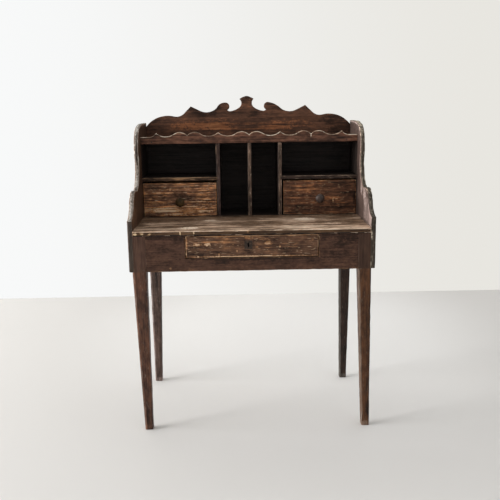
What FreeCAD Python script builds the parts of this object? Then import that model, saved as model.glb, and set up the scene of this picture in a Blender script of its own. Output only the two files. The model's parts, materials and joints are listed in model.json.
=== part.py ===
"""A country writing desk with a small upper case, three drawers and a sawn crest.

Millimetres. +X is to the right of a person at the desk, +Y to the back, +Z up.
The origin is on the floor, under the middle of the desk.
"""
import FreeCAD, Part
import os
import Sketcher
from types import SimpleNamespace

# Driving sizes, kept in the document's spreadsheet
SIZES = {
    # Whole desk
    "overall_width": 870,
    "overall_height": 1210,
    "side_depth": 520,
    "side_thickness": 17,
    "side_top_rise": 61,
    "ear_foot_rise": 39,
    # Joints and cuts
    "cut_overrun": 2,
    "housing_depth": 4,
    "tenon_length": 22,
    "tenon_thickness": 8,
    "tenon_shoulder": 14,
    # Legs
    "leg_width": 44,
    "left_leg_shoulder": 6,
    "right_leg_shoulder": 3,
    "foot_width": 29,
    "foot_set_in": 5,
    "foot_side_set_in": 2.3,
    "front_foot_drift": 10.5,
    "rear_foot_drift": -4.7,
    # Aprons and writing top
    "apron_height": 129,
    "apron_thickness": 20,
    "front_overhang": 5,
    "top_thickness": 17,
    "top_front_plank_depth": 255,
    "plank_tongue_depth": 6,
    "plank_tongue_thickness": 6,
    # Upper case
    "case_setback": 322,
    "case_clear_height": 283,
    "top_shelf_thickness": 15,
    "divider_thickness": 16,
    "divider_set_back": 4,
    "left_divider_distance": 122.5,
    "right_divider_distance": 118,
    "shelf_clear_height": 139,
    "shelf_thickness": 15,
    "rail_thickness": 14,
    "rail_height": 44,
    "rail_end_length": 59.5,
    # Back
    "back_thickness": 16,
    "back_rabbet": 8,
    "back_joint_rise": 171,
    "crest_end_rise": 46,
    "crest_rise": 118,
    "crest_drift": -6,
    # Centre drawer and what carries it
    "drawer_strip_height": 47,
    "drawer_gap": 2.6,
    "slide_gap": 0.4,
    "centre_drawer_width": 466,
    "centre_drawer_rear_room": 44,
    "centre_front_thickness": 18,
    "centre_side_thickness": 12,
    "centre_bottom_thickness": 7,
    "runner_width": 40,
    "runner_thickness": 18,
    "runner_tenon": 8,
    "guide_width": 16,
    "guide_height": 20,
    "stop_length": 22,
    "stop_height": 20,
    # Small drawers
    "small_drawer_left_divider_gap": 0.7,
    "small_drawer_right_divider_gap": 5.2,
    "small_drawer_left_top_gap": 8.6,
    "small_drawer_right_top_gap": 5.6,
    "small_drawer_setback": 4,
    "small_drawer_rear_gap": 1.5,
    "small_side_gap": 0.8,
    "small_front_thickness": 16,
    "small_side_thickness": 10,
    "small_bottom_thickness": 6,
    # All drawers
    "drawer_groove_depth": 5,
    "drawer_bottom_rise": 6,
    "drawer_back_drop": 4,
    "dovetail_lap": 5,
    # Knobs
    "left_knob_height": 56,
    "right_knob_height": 64,
    "knob_diameter": 35,
    "knob_length": 25,
    "knob_neck_diameter": 16,
    "knob_spigot_diameter": 10,
    "knob_dimple_diameter": 5,
    "knob_dimple_depth": 1.5,
    # Lock
    "keyhole_offset": 13,
    "keyhole_drop": 29.5,
    "keyhole_eye_diameter": 7,
    "keyhole_slot_width": 5.5,
    "keyhole_length": 15,
    "keyhole_plate_width": 28,
    "keyhole_plate_height": 31,
    "keyhole_plate_thickness": 1.2,
    "lock_width": 56,
    "lock_height": 44,
    "lock_thickness": 9,
    "lock_wall": 2,
    "bolt_width": 22,
    "bolt_height": 14,
    "bolt_gap": 0.3,
    "bolt_travel": 7,
    "strike_gap": 1,
    "lock_screw_head_diameter": 5,
    "lock_screw_tip_diameter": 2.4,
    "lock_screw_length": 13,
    # Nails
    "nail_head_diameter": 5,
    "nail_tip_diameter": 2,
    "nail_length": 35,
    "small_nail_head_diameter": 3,
    "small_nail_tip_diameter": 1.2,
    "small_nail_length": 22,
}

# Outline of the side boards from the foot of the ear to the top edge:
# shares of the depth and of the rise, end of each edge and, for arcs, a point on the way
SIDE_OUTLINE_SHARES = [
    ((0.119, 0.116), (0.073, 0.041)),
    ((0.231, 0.275), (0.169, 0.228)),
    ((0.319, 0.255), (0.279, 0.273)),
    ((0.487, 0.603), (0.438, 0.341)),
    ((0.635, 0.978), (0.492, 0.828)),
    ((0.792, 1.0), (0.704, 0.995)),
    ((1.0, 1.0), None),
]

# Right half of the crest from its end to the peak: shares of the half length and of the rise
CREST_OUTLINE_SHARES = [
    ((0.725, 0.335), (0.921, 0.242)),
    ((0.627, 0.432), (0.677, 0.335)),
    ((0.559, 0.669), None),
    ((0.467, 0.508), None),
    ((0.306, 0.610), (0.402, 0.463)),
    ((0.2105, 0.784), (0.261, 0.737)),
    ((0.189, 0.525), (0.1675, 0.644)),
    ((0.170, 0.487), None),
    ((0.079, 0.5975), (0.122, 0.5195)),
    ((0.0694, 0.898), (0.0514, 0.754)),
    ((0.0, 1.0), (0.037, 0.962)),
]

# The scrolls and the flared middle, inside this share, drift together to one side
CREST_MIDDLE_SHARE = 0.28

# Half a wave of the rail, from a cusp to a dip: shares of the half pitch and of the rail's height
CUSP_SHARE = 0.96
HALF_WAVE_SHARES = [
    ((0.552, 0.82), (0.343, 0.65)),
    ((1.0, 0.73), (0.77, 1.0)),
]
WAVE_COUNT = 3
RAIL_END_RUN_SHARE = 0.43
RAIL_END_HEIGHT_SHARE = 0.62
RAIL_END_BEND_SHARES = (0.2, 0.71)

# Half profile of a knob in front of the drawer: shares of its radius and of its length
KNOB_PROFILE_SHARES = [
    ((0.70, 0.0), None),
    ((0.70, 0.10), None),
    ((0.46, 0.30), (0.52, 0.19)),
    ((0.96, 0.60), (0.60, 0.50)),
    ((0.92, 0.76), (1.0, 0.68)),
    ((0.40, 0.985), (0.70, 0.91)),
]

# Places of nails, tails and screws along the pieces that they fix
LEG_NAIL_SHARES = (0.25, 0.75)
SIDE_NAIL_DEPTH_SHARES = (0.3, 0.7)
SHELF_NAIL_SHARES = (0.25, 0.75)
FRONT_TOP_NAIL_SHARES = (0.26, 0.81)
RAIL_NAIL_SHARES = (-0.9, -0.45, 0.0, 0.45, 0.9)
BACK_NAIL_SHARES = (-0.75, -0.22, 0.22, 0.75)
GUIDE_NAIL_SHARES = (0.2, 0.8)
DRAWER_NAIL_SHARES = (0.3, 0.75)
BOTTOM_NAIL_SHARES = (0.12, 0.5, 0.88)
TAIL_CENTRE_SHARES = (0.27, 0.73)
TAIL_NARROW_SHARE = 0.12
TAIL_WIDE_SHARE = 0.16
LOCK_SCREW_SHARES = (0.09, 0.91)
LOCK_BAY_SHARE = 0.5


class Size:
    """A length: its value in millimetres and the spreadsheet expression that drives it."""

    def __init__(self, value, text):
        self.value = value
        self.text = text

    def __add__(self, other):
        return Size(self.value + other.value, f"({self.text} + {other.text})")

    def __sub__(self, other):
        return Size(self.value - other.value, f"({self.text} - {other.text})")

    def __mul__(self, share):
        return Size(self.value * share, f"({self.text} * ({share!r}))")

    def __truediv__(self, count):
        return Size(self.value / count, f"({self.text} / {count!r})")

    def __neg__(self):
        return self * -1


ZERO = Size(0.0, "0")


def fill_sheet(document):
    """Write the driving sizes into a spreadsheet and give them back as Size values."""
    sheet = document.addObject("Spreadsheet::Sheet", "Sheet")
    for row, (alias, value) in enumerate(SIZES.items(), start=1):
        sheet.set(f"A{row}", alias)
        sheet.set(f"B{row}", str(value))
        sheet.setAlias(f"B{row}", alias)
    document.recompute()
    return SimpleNamespace(**{alias: Size(float(sheet.get(alias)), f"Sheet.{alias}") for alias in SIZES})


doc = FreeCAD.newDocument("WritingDesk")
size = fill_sheet(doc)
pieces = []

X_AXIS = FreeCAD.Vector(1, 0, 0)
Y_AXIS = FreeCAD.Vector(0, 1, 0)
QUARTER_TURN = 90
HALF_TURN = 180


# Helpers that make the document's features

def bind(feature, **lengths):
    """Drive properties of a feature by the spreadsheet."""
    for name, length in lengths.items():
        feature.setExpression(name, length.text)
    return feature


def place(feature, corner, turn=None):
    """Put a feature at a corner (x, y, z) driven by the spreadsheet, turned by an (axis, degrees) pair."""
    if turn:
        feature.Placement.Rotation = FreeCAD.Rotation(*turn)
    for axis, length in zip("xyz", corner):
        feature.setExpression(f"Placement.Base.{axis}", length.text)
    return feature


def box(name, corner, extent):
    """A plain board or block from its lowest corner and its extent in x, y and z."""
    length, width, height = extent
    return place(bind(doc.addObject("Part::Box", name), Length=length, Width=width, Height=height), corner)


def span(name, low, high):
    """A plain board or block between two corners."""
    return box(name, low, [top - bottom for bottom, top in zip(low, high)])


def fuse(name, *solids):
    """Join solids into one piece."""
    feature = doc.addObject("Part::MultiFuse", name)
    feature.Shapes = list(solids)
    feature.Refine = True
    return feature


def group(name, solids):
    """Keep separate solids together under one name."""
    feature = doc.addObject("Part::Compound", name)
    feature.Links = list(solids)
    return feature


def cut(name, base, *tools):
    """Cut tools from a piece one after another; the last cut has the piece's name."""
    for step, tool in enumerate(tools, start=1):
        feature = doc.addObject("Part::Cut", name if step == len(tools) else f"{name}_cut_{step}")
        feature.Base = base
        feature.Tool = tool
        base = feature
    return base


def keep(feature):
    """Mark a feature as a finished sub-part, whose label names its file."""
    pieces.append(feature)
    return feature


def corner_constraints(geometry, position, point):
    """Hold one sketch point at driven distances from the sketch's axes."""
    found = []
    for kind, axis, length in (("DistanceX", -2, point[0]), ("DistanceY", -1, point[1])):
        if length is ZERO:
            found.append((Sketcher.Constraint("PointOnObject", geometry, position, axis), None))
        else:
            found.append((Sketcher.Constraint(kind, geometry, position, length.value), length))
    return found


def draw(sketch, start, edges):
    """Draw a closed outline of lines and arcs: each edge is its end and, for an arc, a point on the way."""
    def spot(point):
        return FreeCAD.Vector(point[0].value, point[1].value, 0)

    constraints = []
    ends = []
    begin = start
    for end, way in edges:
        if way is None:
            index = sketch.addGeometry(Part.LineSegment(spot(begin), spot(end)), False)
            ends.append((index, 1, 2))
        else:
            turn = (spot(way) - spot(begin)).cross(spot(end) - spot(way)).z
            first, last = (begin, end) if turn > 0 else (end, begin)
            index = sketch.addGeometry(Part.Arc(spot(first), spot(way), spot(last)), False)
            ends.append((index, 1, 2) if turn > 0 else (index, 2, 1))
            helper = sketch.addGeometry(Part.Point(spot(way)), True)
            constraints += corner_constraints(helper, 1, way)
            constraints.append((Sketcher.Constraint("PointOnObject", helper, 1, index), None))
        constraints += corner_constraints(index, ends[-1][2], end)
        begin = end
    for (index, _, tail), (follower, head, _) in zip(ends, ends[1:] + ends[:1]):
        constraints.append((Sketcher.Constraint("Coincident", index, tail, follower, head), None))
    sketch.addConstraint([constraint for constraint, _ in constraints])
    for number, (_, length) in enumerate(constraints):
        if length is not None:
            sketch.setExpression(f"Constraints[{number}]", length.text)


def sketch_on(body, role):
    """A new sketch on one of the body's own origin planes."""
    sketch = body.newObject("Sketcher::SketchObject", f"{body.Name}_sketch")
    plane = [feature for feature in body.Origin.OriginFeatures if feature.Role == role][0]
    sketch.AttachmentSupport = [(plane, "")]
    sketch.MapMode = "FlatFace"
    return sketch


def board(name, role, start, edges, thickness, corner):
    """A board of one thickness with a shaped outline, padded towards +X or +Y from its plane."""
    body = doc.addObject("PartDesign::Body", name)
    sketch = sketch_on(body, role)
    draw(sketch, start, edges)
    pad = body.newObject("PartDesign::Pad", f"{name}_pad")
    pad.Profile = sketch
    pad.Reversed = role == "XZ_Plane"
    bind(pad, Length=thickness)
    return place(body, corner)


def turned(name, start, edges, corner):
    """A piece turned on the lathe: a half profile drawn beside the Y axis."""
    body = doc.addObject("PartDesign::Body", name)
    sketch = sketch_on(body, "XY_Plane")
    draw(sketch, start, edges)
    turning = body.newObject("PartDesign::Revolution", f"{name}_turning")
    turning.Profile = sketch
    turning.ReferenceAxis = (sketch, ["V_Axis"])
    return place(body, corner)


def spike(name, head, length, head_diameter, tip_diameter, turn):
    """A tapered nail or screw whose head is at a point, driven in along its turned axis."""
    cone = doc.addObject("Part::Cone", name)
    bind(cone, Radius1=head_diameter / 2, Radius2=tip_diameter / 2, Height=length)
    return place(cone, head, turn)


# Turns that point a spike along an axis
RIGHTWARDS = (Y_AXIS, QUARTER_TURN)
LEFTWARDS = (Y_AXIS, -QUARTER_TURN)
BACKWARDS = (X_AXIS, -QUARTER_TURN)
FORWARDS = (X_AXIS, QUARTER_TURN)
DOWNWARDS = (X_AXIS, HALF_TURN)
UPWARDS = (X_AXIS, 0)


def nails(name, places, turn=None):
    """A group of nails at (x, y, z) places; with no turn, each place brings its own as a fourth value."""
    solids = []
    for number, spot in enumerate(places, start=1):
        solids.append(spike(
            f"{name}_{number}", spot[:3], size.nail_length, size.nail_head_diameter,
            size.nail_tip_diameter, turn or spot[3]))
    return keep(group(name, solids))


# Levels and planes that several pieces share
half_width = size.overall_width / 2
inner = half_width - size.side_thickness
front = -(size.side_depth - size.front_overhang) / 2
rear = front + size.side_depth
back_face = rear - size.back_thickness
crest_end_level = size.overall_height - size.crest_rise
top_shelf_high = crest_end_level - size.crest_end_rise
top_shelf_low = top_shelf_high - size.top_shelf_thickness
writing_level = top_shelf_low - size.case_clear_height
top_underside = writing_level - size.top_thickness
apron_bottom = top_underside - size.apron_height
back_joint_level = writing_level + size.back_joint_rise
apron_end = inner - size.leg_width
case_front = front + size.case_setback
shelf_front = case_front + size.rail_thickness
divider_front = case_front + size.divider_set_back
shelf_low = writing_level + size.shelf_clear_height
shelf_high = shelf_low + size.shelf_thickness
divider_places = {
    "left": -size.left_divider_distance,
    "middle": ZERO,
    "right": size.right_divider_distance,
}
opening_half = size.centre_drawer_width / 2 + size.drawer_gap
runner_top = apron_bottom + size.drawer_strip_height
rear_apron_front = back_face - size.apron_thickness
centre_drawer_depth = rear_apron_front - front - size.centre_drawer_rear_room
SIDES = (("left", -1), ("right", 1))


# Nails of the carcase

def side_nail_places(sign):
    """Nails through a side board into the legs, the writing top and the top shelf."""
    spots = []
    for y in (front + size.leg_width / 2, back_face - size.leg_width / 2):
        spots += [(y, apron_bottom + size.apron_height * share) for share in LEG_NAIL_SHARES]
    spots += [(front + size.side_depth * share, writing_level - size.top_thickness / 2)
              for share in SIDE_NAIL_DEPTH_SHARES]
    spots += [(shelf_front + (back_face - shelf_front) * share, top_shelf_low + size.top_shelf_thickness / 2)
              for share in SHELF_NAIL_SHARES]
    turn = RIGHTWARDS if sign < 0 else LEFTWARDS
    return [(half_width * sign, y, z, turn) for y, z in spots]


def top_nail_places():
    """Nails down through the writing top into the aprons: beside the drawer, and in each bay of the case."""
    beside = [opening_half + (apron_end - opening_half) * share for share in FRONT_TOP_NAIL_SHARES]
    places = [(x * sign, front + size.apron_thickness / 2, writing_level)
              for x in beside for _, sign in SIDES]
    bay_edges = [-inner, *divider_places.values(), inner]
    places += [((left + right) / 2, back_face - size.apron_thickness / 2, writing_level)
               for left, right in zip(bay_edges, bay_edges[1:])]
    return places


def back_nail_places():
    """Nails through the back boards into the top, the shelf, the dividers and the side boards."""
    lower_middle = (writing_level + back_joint_level) / 2
    upper_middle = (back_joint_level + top_shelf_low) / 2
    crest_middle = (top_shelf_high + crest_end_level) / 2
    places = []
    for z in (top_underside + size.top_thickness / 2, top_shelf_low + size.top_shelf_thickness / 2):
        places += [(inner * share, rear, z) for share in BACK_NAIL_SHARES]
    for z in (lower_middle, upper_middle):
        places += [(x, rear, z) for x in divider_places.values()]
    for z in (lower_middle, upper_middle, crest_middle):
        places += [((inner + size.back_rabbet / 2) * sign, rear, z) for _, sign in SIDES]
    return places


side_nails = nails("side_board_nails", side_nail_places(-1) + side_nail_places(1))
top_nails = nails("top_nails", top_nail_places(), DOWNWARDS)
rail_nails = nails("rail_nails", [
    (inner * share, case_front, top_shelf_low + size.top_shelf_thickness / 2) for share in RAIL_NAIL_SHARES
], BACKWARDS)
back_nails = nails("back_nails", back_nail_places(), FORWARDS)
guide_middle = opening_half + size.guide_width / 2
runner_run = rear_apron_front - front - size.apron_thickness
runner_nails = nails("runner_nails", [
    (guide_middle * sign, front + size.apron_thickness + runner_run * share, runner_top + size.guide_height)
    for _, sign in SIDES for share in GUIDE_NAIL_SHARES
], DOWNWARDS)


# Runners, guides and stops under the writing top

def make_runner(side, sign):
    """A batten tenoned into both aprons, with a guide strip nailed on it."""
    guide_outer = opening_half + size.guide_width
    left = guide_outer - size.runner_width if sign > 0 else -guide_outer
    apron_back = front + size.apron_thickness
    runner = box(
        f"drawer_runner_{side}_blank",
        (left, apron_back - size.runner_tenon, runner_top - size.runner_thickness),
        (size.runner_width, runner_run + size.runner_tenon * 2, size.runner_thickness))
    guide = box(
        f"drawer_guide_{side}_blank",
        (opening_half if sign > 0 else -guide_outer, apron_back, runner_top),
        (size.guide_width, runner_run, size.guide_height))
    keep(cut(f"drawer_guide_{side}", guide, runner_nails))
    return keep(cut(f"drawer_runner_{side}", runner, runner_nails))


runners = [make_runner(side, sign) for side, sign in SIDES]


def make_stop(side, sign):
    """A block on the runner that the drawer's back meets when it is shut."""
    near = size.centre_drawer_width / 2
    left = near - size.centre_side_thickness if sign > 0 else -near
    return box(
        f"drawer_stop_{side}",
        (left, front + centre_drawer_depth + size.slide_gap, runner_top),
        (size.centre_side_thickness, size.stop_length, size.stop_height))


keep(group("drawer_stops", [make_stop(side, sign) for side, sign in SIDES]))


# Aprons with their tenons

def tenons(name, y):
    """The two end tenons of an apron whose front face is at y."""
    low = y + (size.apron_thickness - size.tenon_thickness) / 2
    extent = (size.tenon_length, size.tenon_thickness, size.apron_height - size.tenon_shoulder * 2)
    starts = {"left": -apron_end - size.tenon_length, "right": apron_end}
    return [box(f"{name}_tenon_{side}", (x, low, apron_bottom + size.tenon_shoulder), extent)
            for side, x in starts.items()]


def make_front_apron():
    """The front apron, notched from above for the centre drawer."""
    corners = [
        (apron_end, apron_bottom), (apron_end, top_underside), (opening_half, top_underside),
        (opening_half, runner_top), (-opening_half, runner_top), (-opening_half, top_underside),
        (-apron_end, top_underside), (-apron_end, apron_bottom),
    ]
    blank = board("front_apron_board", "XZ_Plane", corners[-1], [(corner, None) for corner in corners],
                  size.apron_thickness, (ZERO, front, ZERO))
    joined = fuse("front_apron_tenoned", blank, *tenons("front_apron", front))
    return keep(cut("front_apron", joined, *runners, top_nails))


def make_rear_apron():
    """The plain rear apron, flush with the backs of the rear legs."""
    blank = span("rear_apron_board", (-apron_end, rear_apron_front, apron_bottom),
                 (apron_end, back_face, top_underside))
    joined = fuse("rear_apron_tenoned", blank, *tenons("rear_apron", rear_apron_front))
    return keep(cut("rear_apron", joined, *runners, top_nails))


front_apron = make_front_apron()
rear_apron = make_rear_apron()


# Legs: square posts behind the aprons, with a shoulder under the side boards, tapering to the floor

def make_leg(end, side, sign):
    """A post with a shouldered and tapered lower part, mortised for its apron."""
    name = f"leg_{end}_{side}"
    drift = size.front_foot_drift if end == "front" else size.rear_foot_drift
    post_x = inner - size.leg_width if sign > 0 else -inner
    foot_x = inner - size.foot_side_set_in - size.foot_width if sign > 0 else -inner + size.foot_side_set_in
    foot_x = foot_x + drift
    shoulder_low = post_x if sign > 0 else post_x - size.left_leg_shoulder
    shoulder_high = post_x + size.leg_width
    if sign > 0:
        shoulder_high = shoulder_high + size.right_leg_shoulder
    post_y = front if end == "front" else back_face - size.leg_width
    foot_y = front + size.foot_set_in
    if end == "rear":
        foot_y = back_face - size.foot_set_in - size.foot_width
    taper = bind(
        doc.addObject("Part::Wedge", f"{name}_taper"),
        Xmin=foot_x, Xmax=foot_x + size.foot_width, X2min=shoulder_low, X2max=shoulder_high,
        Ymin=ZERO, Ymax=apron_bottom,
        Zmin=-(foot_y + size.foot_width), Zmax=-foot_y,
        Z2min=-(post_y + size.leg_width), Z2max=-post_y)
    taper.Placement.Rotation = FreeCAD.Rotation(X_AXIS, QUARTER_TURN)
    post = box(f"{name}_post", (post_x, post_y, apron_bottom),
               (size.leg_width, size.leg_width, size.apron_height))
    whole = fuse(f"{name}_whole", taper, post)
    return keep(cut(name, whole, front_apron if end == "front" else rear_apron, side_nails))


for side, sign in SIDES:
    make_leg("front", side, sign)
    make_leg("rear", side, sign)


# Centre drawer position, the lock's bolt and its mortise in the writing top

drawer_left = -size.centre_drawer_width / 2
drawer_front_low = runner_top + size.drawer_gap
drawer_front_high = top_underside - size.drawer_gap
drawer_inside = front + size.centre_front_thickness
lock_front = drawer_inside - size.lock_thickness
bolt_left = -size.keyhole_offset - size.bolt_width / 2
bolt_front = lock_front + size.lock_wall
bolt_thickness = size.lock_thickness - size.lock_wall * 2
bolt_low = drawer_front_high - size.bolt_height


def around(name, low, extent, gap, rise):
    """The room round a block: the block with a gap on each side, open upwards by a rise."""
    return box(name, [place - gap for place in low],
               (extent[0] + gap * 2, extent[1] + gap * 2, extent[2] + gap + rise))


bolt_corner = (bolt_left, bolt_front, bolt_low)
bolt_extent = (size.bolt_width, bolt_thickness, size.bolt_height)
keep(box("lock_bolt", bolt_corner, bolt_extent))
strike = around("strike_mortise", bolt_corner, bolt_extent, size.strike_gap,
                size.bolt_travel + size.strike_gap)


# Shelves of the upper case

def make_side_shelf(side, sign):
    """A shelf over a small drawer, let into the side board and the divider beside it."""
    outer = inner + size.housing_depth
    near = divider_places[side] + (size.divider_thickness / 2 - size.housing_depth) * sign
    low, high = (near, outer) if sign > 0 else (-outer, near)
    return keep(span(f"shelf_{side}", (low, divider_front, shelf_low), (high, back_face, shelf_high)))


side_shelves = {side: make_side_shelf(side, sign) for side, sign in SIDES}


# Dividers, let into the writing top and the top shelf

def make_divider(name, x):
    """An upright with a tongue along its top, behind the rail."""
    left = x - size.divider_thickness / 2
    right = x + size.divider_thickness / 2
    upright = span(f"divider_{name}_board", (left, divider_front, writing_level - size.housing_depth),
                   (right, back_face, top_shelf_low))
    tongue = box(f"divider_{name}_tongue", (left, shelf_front, top_shelf_low),
                 (size.divider_thickness, back_face - shelf_front, size.housing_depth))
    whole = fuse(f"divider_{name}_whole", upright, tongue)
    shelves = [side_shelves[name]] if name in side_shelves else []
    return keep(cut(f"divider_{name}", whole, *shelves, back_nails))


dividers = [make_divider(name, x) for name, x in divider_places.items()]


def make_top_shelf():
    """The shelf over the case, let into both side boards."""
    outer = inner + size.housing_depth
    blank = span("top_shelf_board", (-outer, shelf_front, top_shelf_low), (outer, back_face, top_shelf_high))
    return keep(cut("top_shelf", blank, *dividers, side_nails, rail_nails, back_nails))


top_shelf = make_top_shelf()


# Writing top: two planks joined by a tongue and groove

def make_writing_top():
    """The two planks between the side boards, resting on the legs and aprons."""
    front_edge = front - size.front_overhang
    joint = front_edge + size.top_front_plank_depth
    plank = span("front_plank_board", (-inner, front_edge, top_underside), (inner, joint, writing_level))
    tongue_low = top_underside + (size.top_thickness - size.plank_tongue_thickness) / 2
    tongue = box("front_plank_tongue", (-inner, joint, tongue_low),
                 (inner * 2, size.plank_tongue_depth, size.plank_tongue_thickness))
    joined = fuse("front_plank_tongued", plank, tongue)
    keep(cut("writing_top_front_plank", joined, strike, top_nails, side_nails))
    rest = span("rear_plank_board", (-inner, joint, top_underside), (inner, back_face, writing_level))
    keep(cut("writing_top_rear_plank", rest, joined, *dividers, top_nails, side_nails, back_nails))


make_writing_top()


# Wavy rail along the front of the top shelf

end_cusp = inner - size.rail_end_length
wave_pitch = end_cusp * 2 / WAVE_COUNT


def rail_point(x, height_share):
    """A point of the rail's outline from its x and the share of its height."""
    return (x, size.rail_height * height_share)


def wave_edges():
    """The rail's top edge from the right-hand cusp to the left-hand one."""
    edges = []
    half_pitch = wave_pitch / 2
    for wave in range(WAVE_COUNT):
        cusp = end_cusp - wave_pitch * wave
        for end, way in HALF_WAVE_SHARES:
            edges.append((rail_point(cusp - half_pitch * end[0], end[1]),
                          rail_point(cusp - half_pitch * way[0], way[1])))
        next_cusp = cusp - wave_pitch
        mirrored = [(0.0, CUSP_SHARE)] + [end for end, _ in HALF_WAVE_SHARES[:-1]]
        for end, (_, way) in zip(reversed(mirrored), reversed(HALF_WAVE_SHARES)):
            edges.append((rail_point(next_cusp + half_pitch * end[0], end[1]),
                          rail_point(next_cusp + half_pitch * way[0], way[1])))
    return edges


def make_rail():
    """The rail: flat ends, then cusps, hollows and humps."""
    flat = end_cusp + size.rail_end_length * RAIL_END_RUN_SHARE
    bend = end_cusp + size.rail_end_length * RAIL_END_BEND_SHARES[0]
    bend_height = RAIL_END_BEND_SHARES[1]
    edges = [
        ((inner, ZERO), None),
        (rail_point(inner, RAIL_END_HEIGHT_SHARE), None),
        (rail_point(flat, RAIL_END_HEIGHT_SHARE), None),
        (rail_point(end_cusp, CUSP_SHARE), rail_point(bend, bend_height)),
    ]
    edges += wave_edges()
    edges += [
        (rail_point(-flat, RAIL_END_HEIGHT_SHARE), rail_point(-bend, bend_height)),
        (rail_point(-inner, RAIL_END_HEIGHT_SHARE), None),
        ((-inner, ZERO), None),
    ]
    blank = board("gallery_rail_board", "XZ_Plane", edges[-1][0], edges, size.rail_thickness,
                  (ZERO, case_front, top_shelf_low))
    return keep(cut("gallery_rail", blank, rail_nails))


make_rail()


# Back boards and crest, in rabbets of the side boards

def make_back_board(name, low, high):
    """A plain back board between two heights."""
    end = inner + size.back_rabbet
    blank = span(f"{name}_board", (-end, back_face, low), (end, rear, high))
    return keep(cut(name, blank, back_nails))


def make_crest():
    """The crest: sawn shoulders, tips, scrolls and a flared middle, with straight ends in the rabbets."""
    end = inner + size.back_rabbet

    def spot(shares, sign):
        x = inner * (shares[0] * sign)
        if shares[0] < CREST_MIDDLE_SHARE:
            x = x + size.crest_drift
        return (x, crest_end_level + size.crest_rise * shares[1])

    starts = [(1.0, 0.0)] + [stop for stop, _ in CREST_OUTLINE_SHARES[:-1]]
    edges = [
        ((end, top_shelf_high), None),
        ((end, crest_end_level), None),
        (spot(starts[0], 1), None),
    ]
    edges += [(spot(stop, 1), way and spot(way, 1)) for stop, way in CREST_OUTLINE_SHARES]
    edges += [(spot(stop, -1), way and spot(way, -1))
              for stop, (_, way) in zip(reversed(starts), reversed(CREST_OUTLINE_SHARES))]
    edges += [
        ((-end, crest_end_level), None),
        ((-end, top_shelf_high), None),
    ]
    blank = board("crest_outline_board", "XZ_Plane", edges[-1][0], edges, size.back_thickness,
                  (ZERO, back_face, ZERO))
    return keep(cut("crest_board", blank, back_nails))


back_boards = [
    make_back_board("back_board_lower", top_underside, back_joint_level),
    make_back_board("back_board_upper", back_joint_level, top_shelf_high),
    make_crest(),
]


# Side boards: one shaped board each, from the apron's lower edge to the top

def make_side_board(side, sign):
    """A side board with its ear and cove, housed for the shelves and rabbeted for the back."""
    ear_foot = writing_level + size.ear_foot_rise
    side_top = top_shelf_high + size.side_top_rise
    rise = side_top - ear_foot

    def spot(shares):
        return (size.side_depth * shares[0], ear_foot + rise * shares[1])

    edges = [
        ((size.side_depth, apron_bottom), None),
        ((size.side_depth, side_top), None),
    ]
    outline = [((0.0, 0.0), None)] + SIDE_OUTLINE_SHARES
    for (stop, _), (_, way) in zip(reversed(outline[:-1]), reversed(outline[1:])):
        point = (ZERO, ear_foot) if stop[0] == 0 else spot(stop)
        edges.append((point, way and spot(way)))
    edges.append(((ZERO, apron_bottom), None))
    blank = board(f"side_board_{side}_board", "YZ_Plane", edges[-1][0], edges, size.side_thickness,
                  (inner if sign > 0 else -half_width, front, ZERO))
    return keep(cut(f"side_board_{side}", blank, side_shelves[side], top_shelf, *back_boards,
                    side_nails, back_nails))


for side, sign in SIDES:
    make_side_board(side, sign)


# Drawers: dovetailed sides, a housed back and a bottom that slides in grooves

def make_drawer_side(name, corner, plan, neighbours):
    """A drawer side with two tails at its front end, grooved for the bottom and the back."""
    x, y, z = corner
    height = plan.top - z
    shoulder = y + plan.front
    tip = y + size.dovetail_lap
    plain = box(f"{name}_board", (x, shoulder, z), (plan.side, plan.depth - plan.front, height))
    tails = []
    for number, share in enumerate(TAIL_CENTRE_SHARES, start=1):
        middle = z + height * share
        narrow = height * TAIL_NARROW_SHARE
        wide = height * TAIL_WIDE_SHARE
        tail = bind(
            doc.addObject("Part::Wedge", f"{name}_tail_{number}"),
            Xmin=x, Xmax=x + plan.side, X2min=x, X2max=x + plan.side,
            Ymin=-shoulder, Ymax=-tip,
            Zmin=-(middle + narrow), Zmax=-(middle - narrow),
            Z2min=-(middle + wide), Z2max=-(middle - wide))
        tail.Placement.Rotation = FreeCAD.Rotation(X_AXIS, HALF_TURN)
        tails.append(tail)
    whole = fuse(f"{name}_whole", plain, *tails)
    return keep(cut(name, whole, *neighbours))


def drawer_nails(name, corner, plan):
    """Nails through the sides into the back and up through the bottom into it."""
    x, y, z = corner
    back_middle = y + plan.depth - plan.side / 2
    solids = []
    for share in DRAWER_NAIL_SHARES:
        level = plan.back_low + (plan.back_high - plan.back_low) * share
        for turn, start in ((RIGHTWARDS, x), (LEFTWARDS, x + plan.width)):
            solids.append(((start, back_middle, level), turn))
    for share in BOTTOM_NAIL_SHARES:
        solids.append(((x + plan.width * share, back_middle, z + size.drawer_bottom_rise), UPWARDS))
    return keep(group(f"{name}_nails", [
        spike(f"{name}_nail_{number}", head, size.small_nail_length, size.small_nail_head_diameter,
              size.small_nail_tip_diameter, turn)
        for number, (head, turn) in enumerate(solids, start=1)
    ]))


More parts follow.
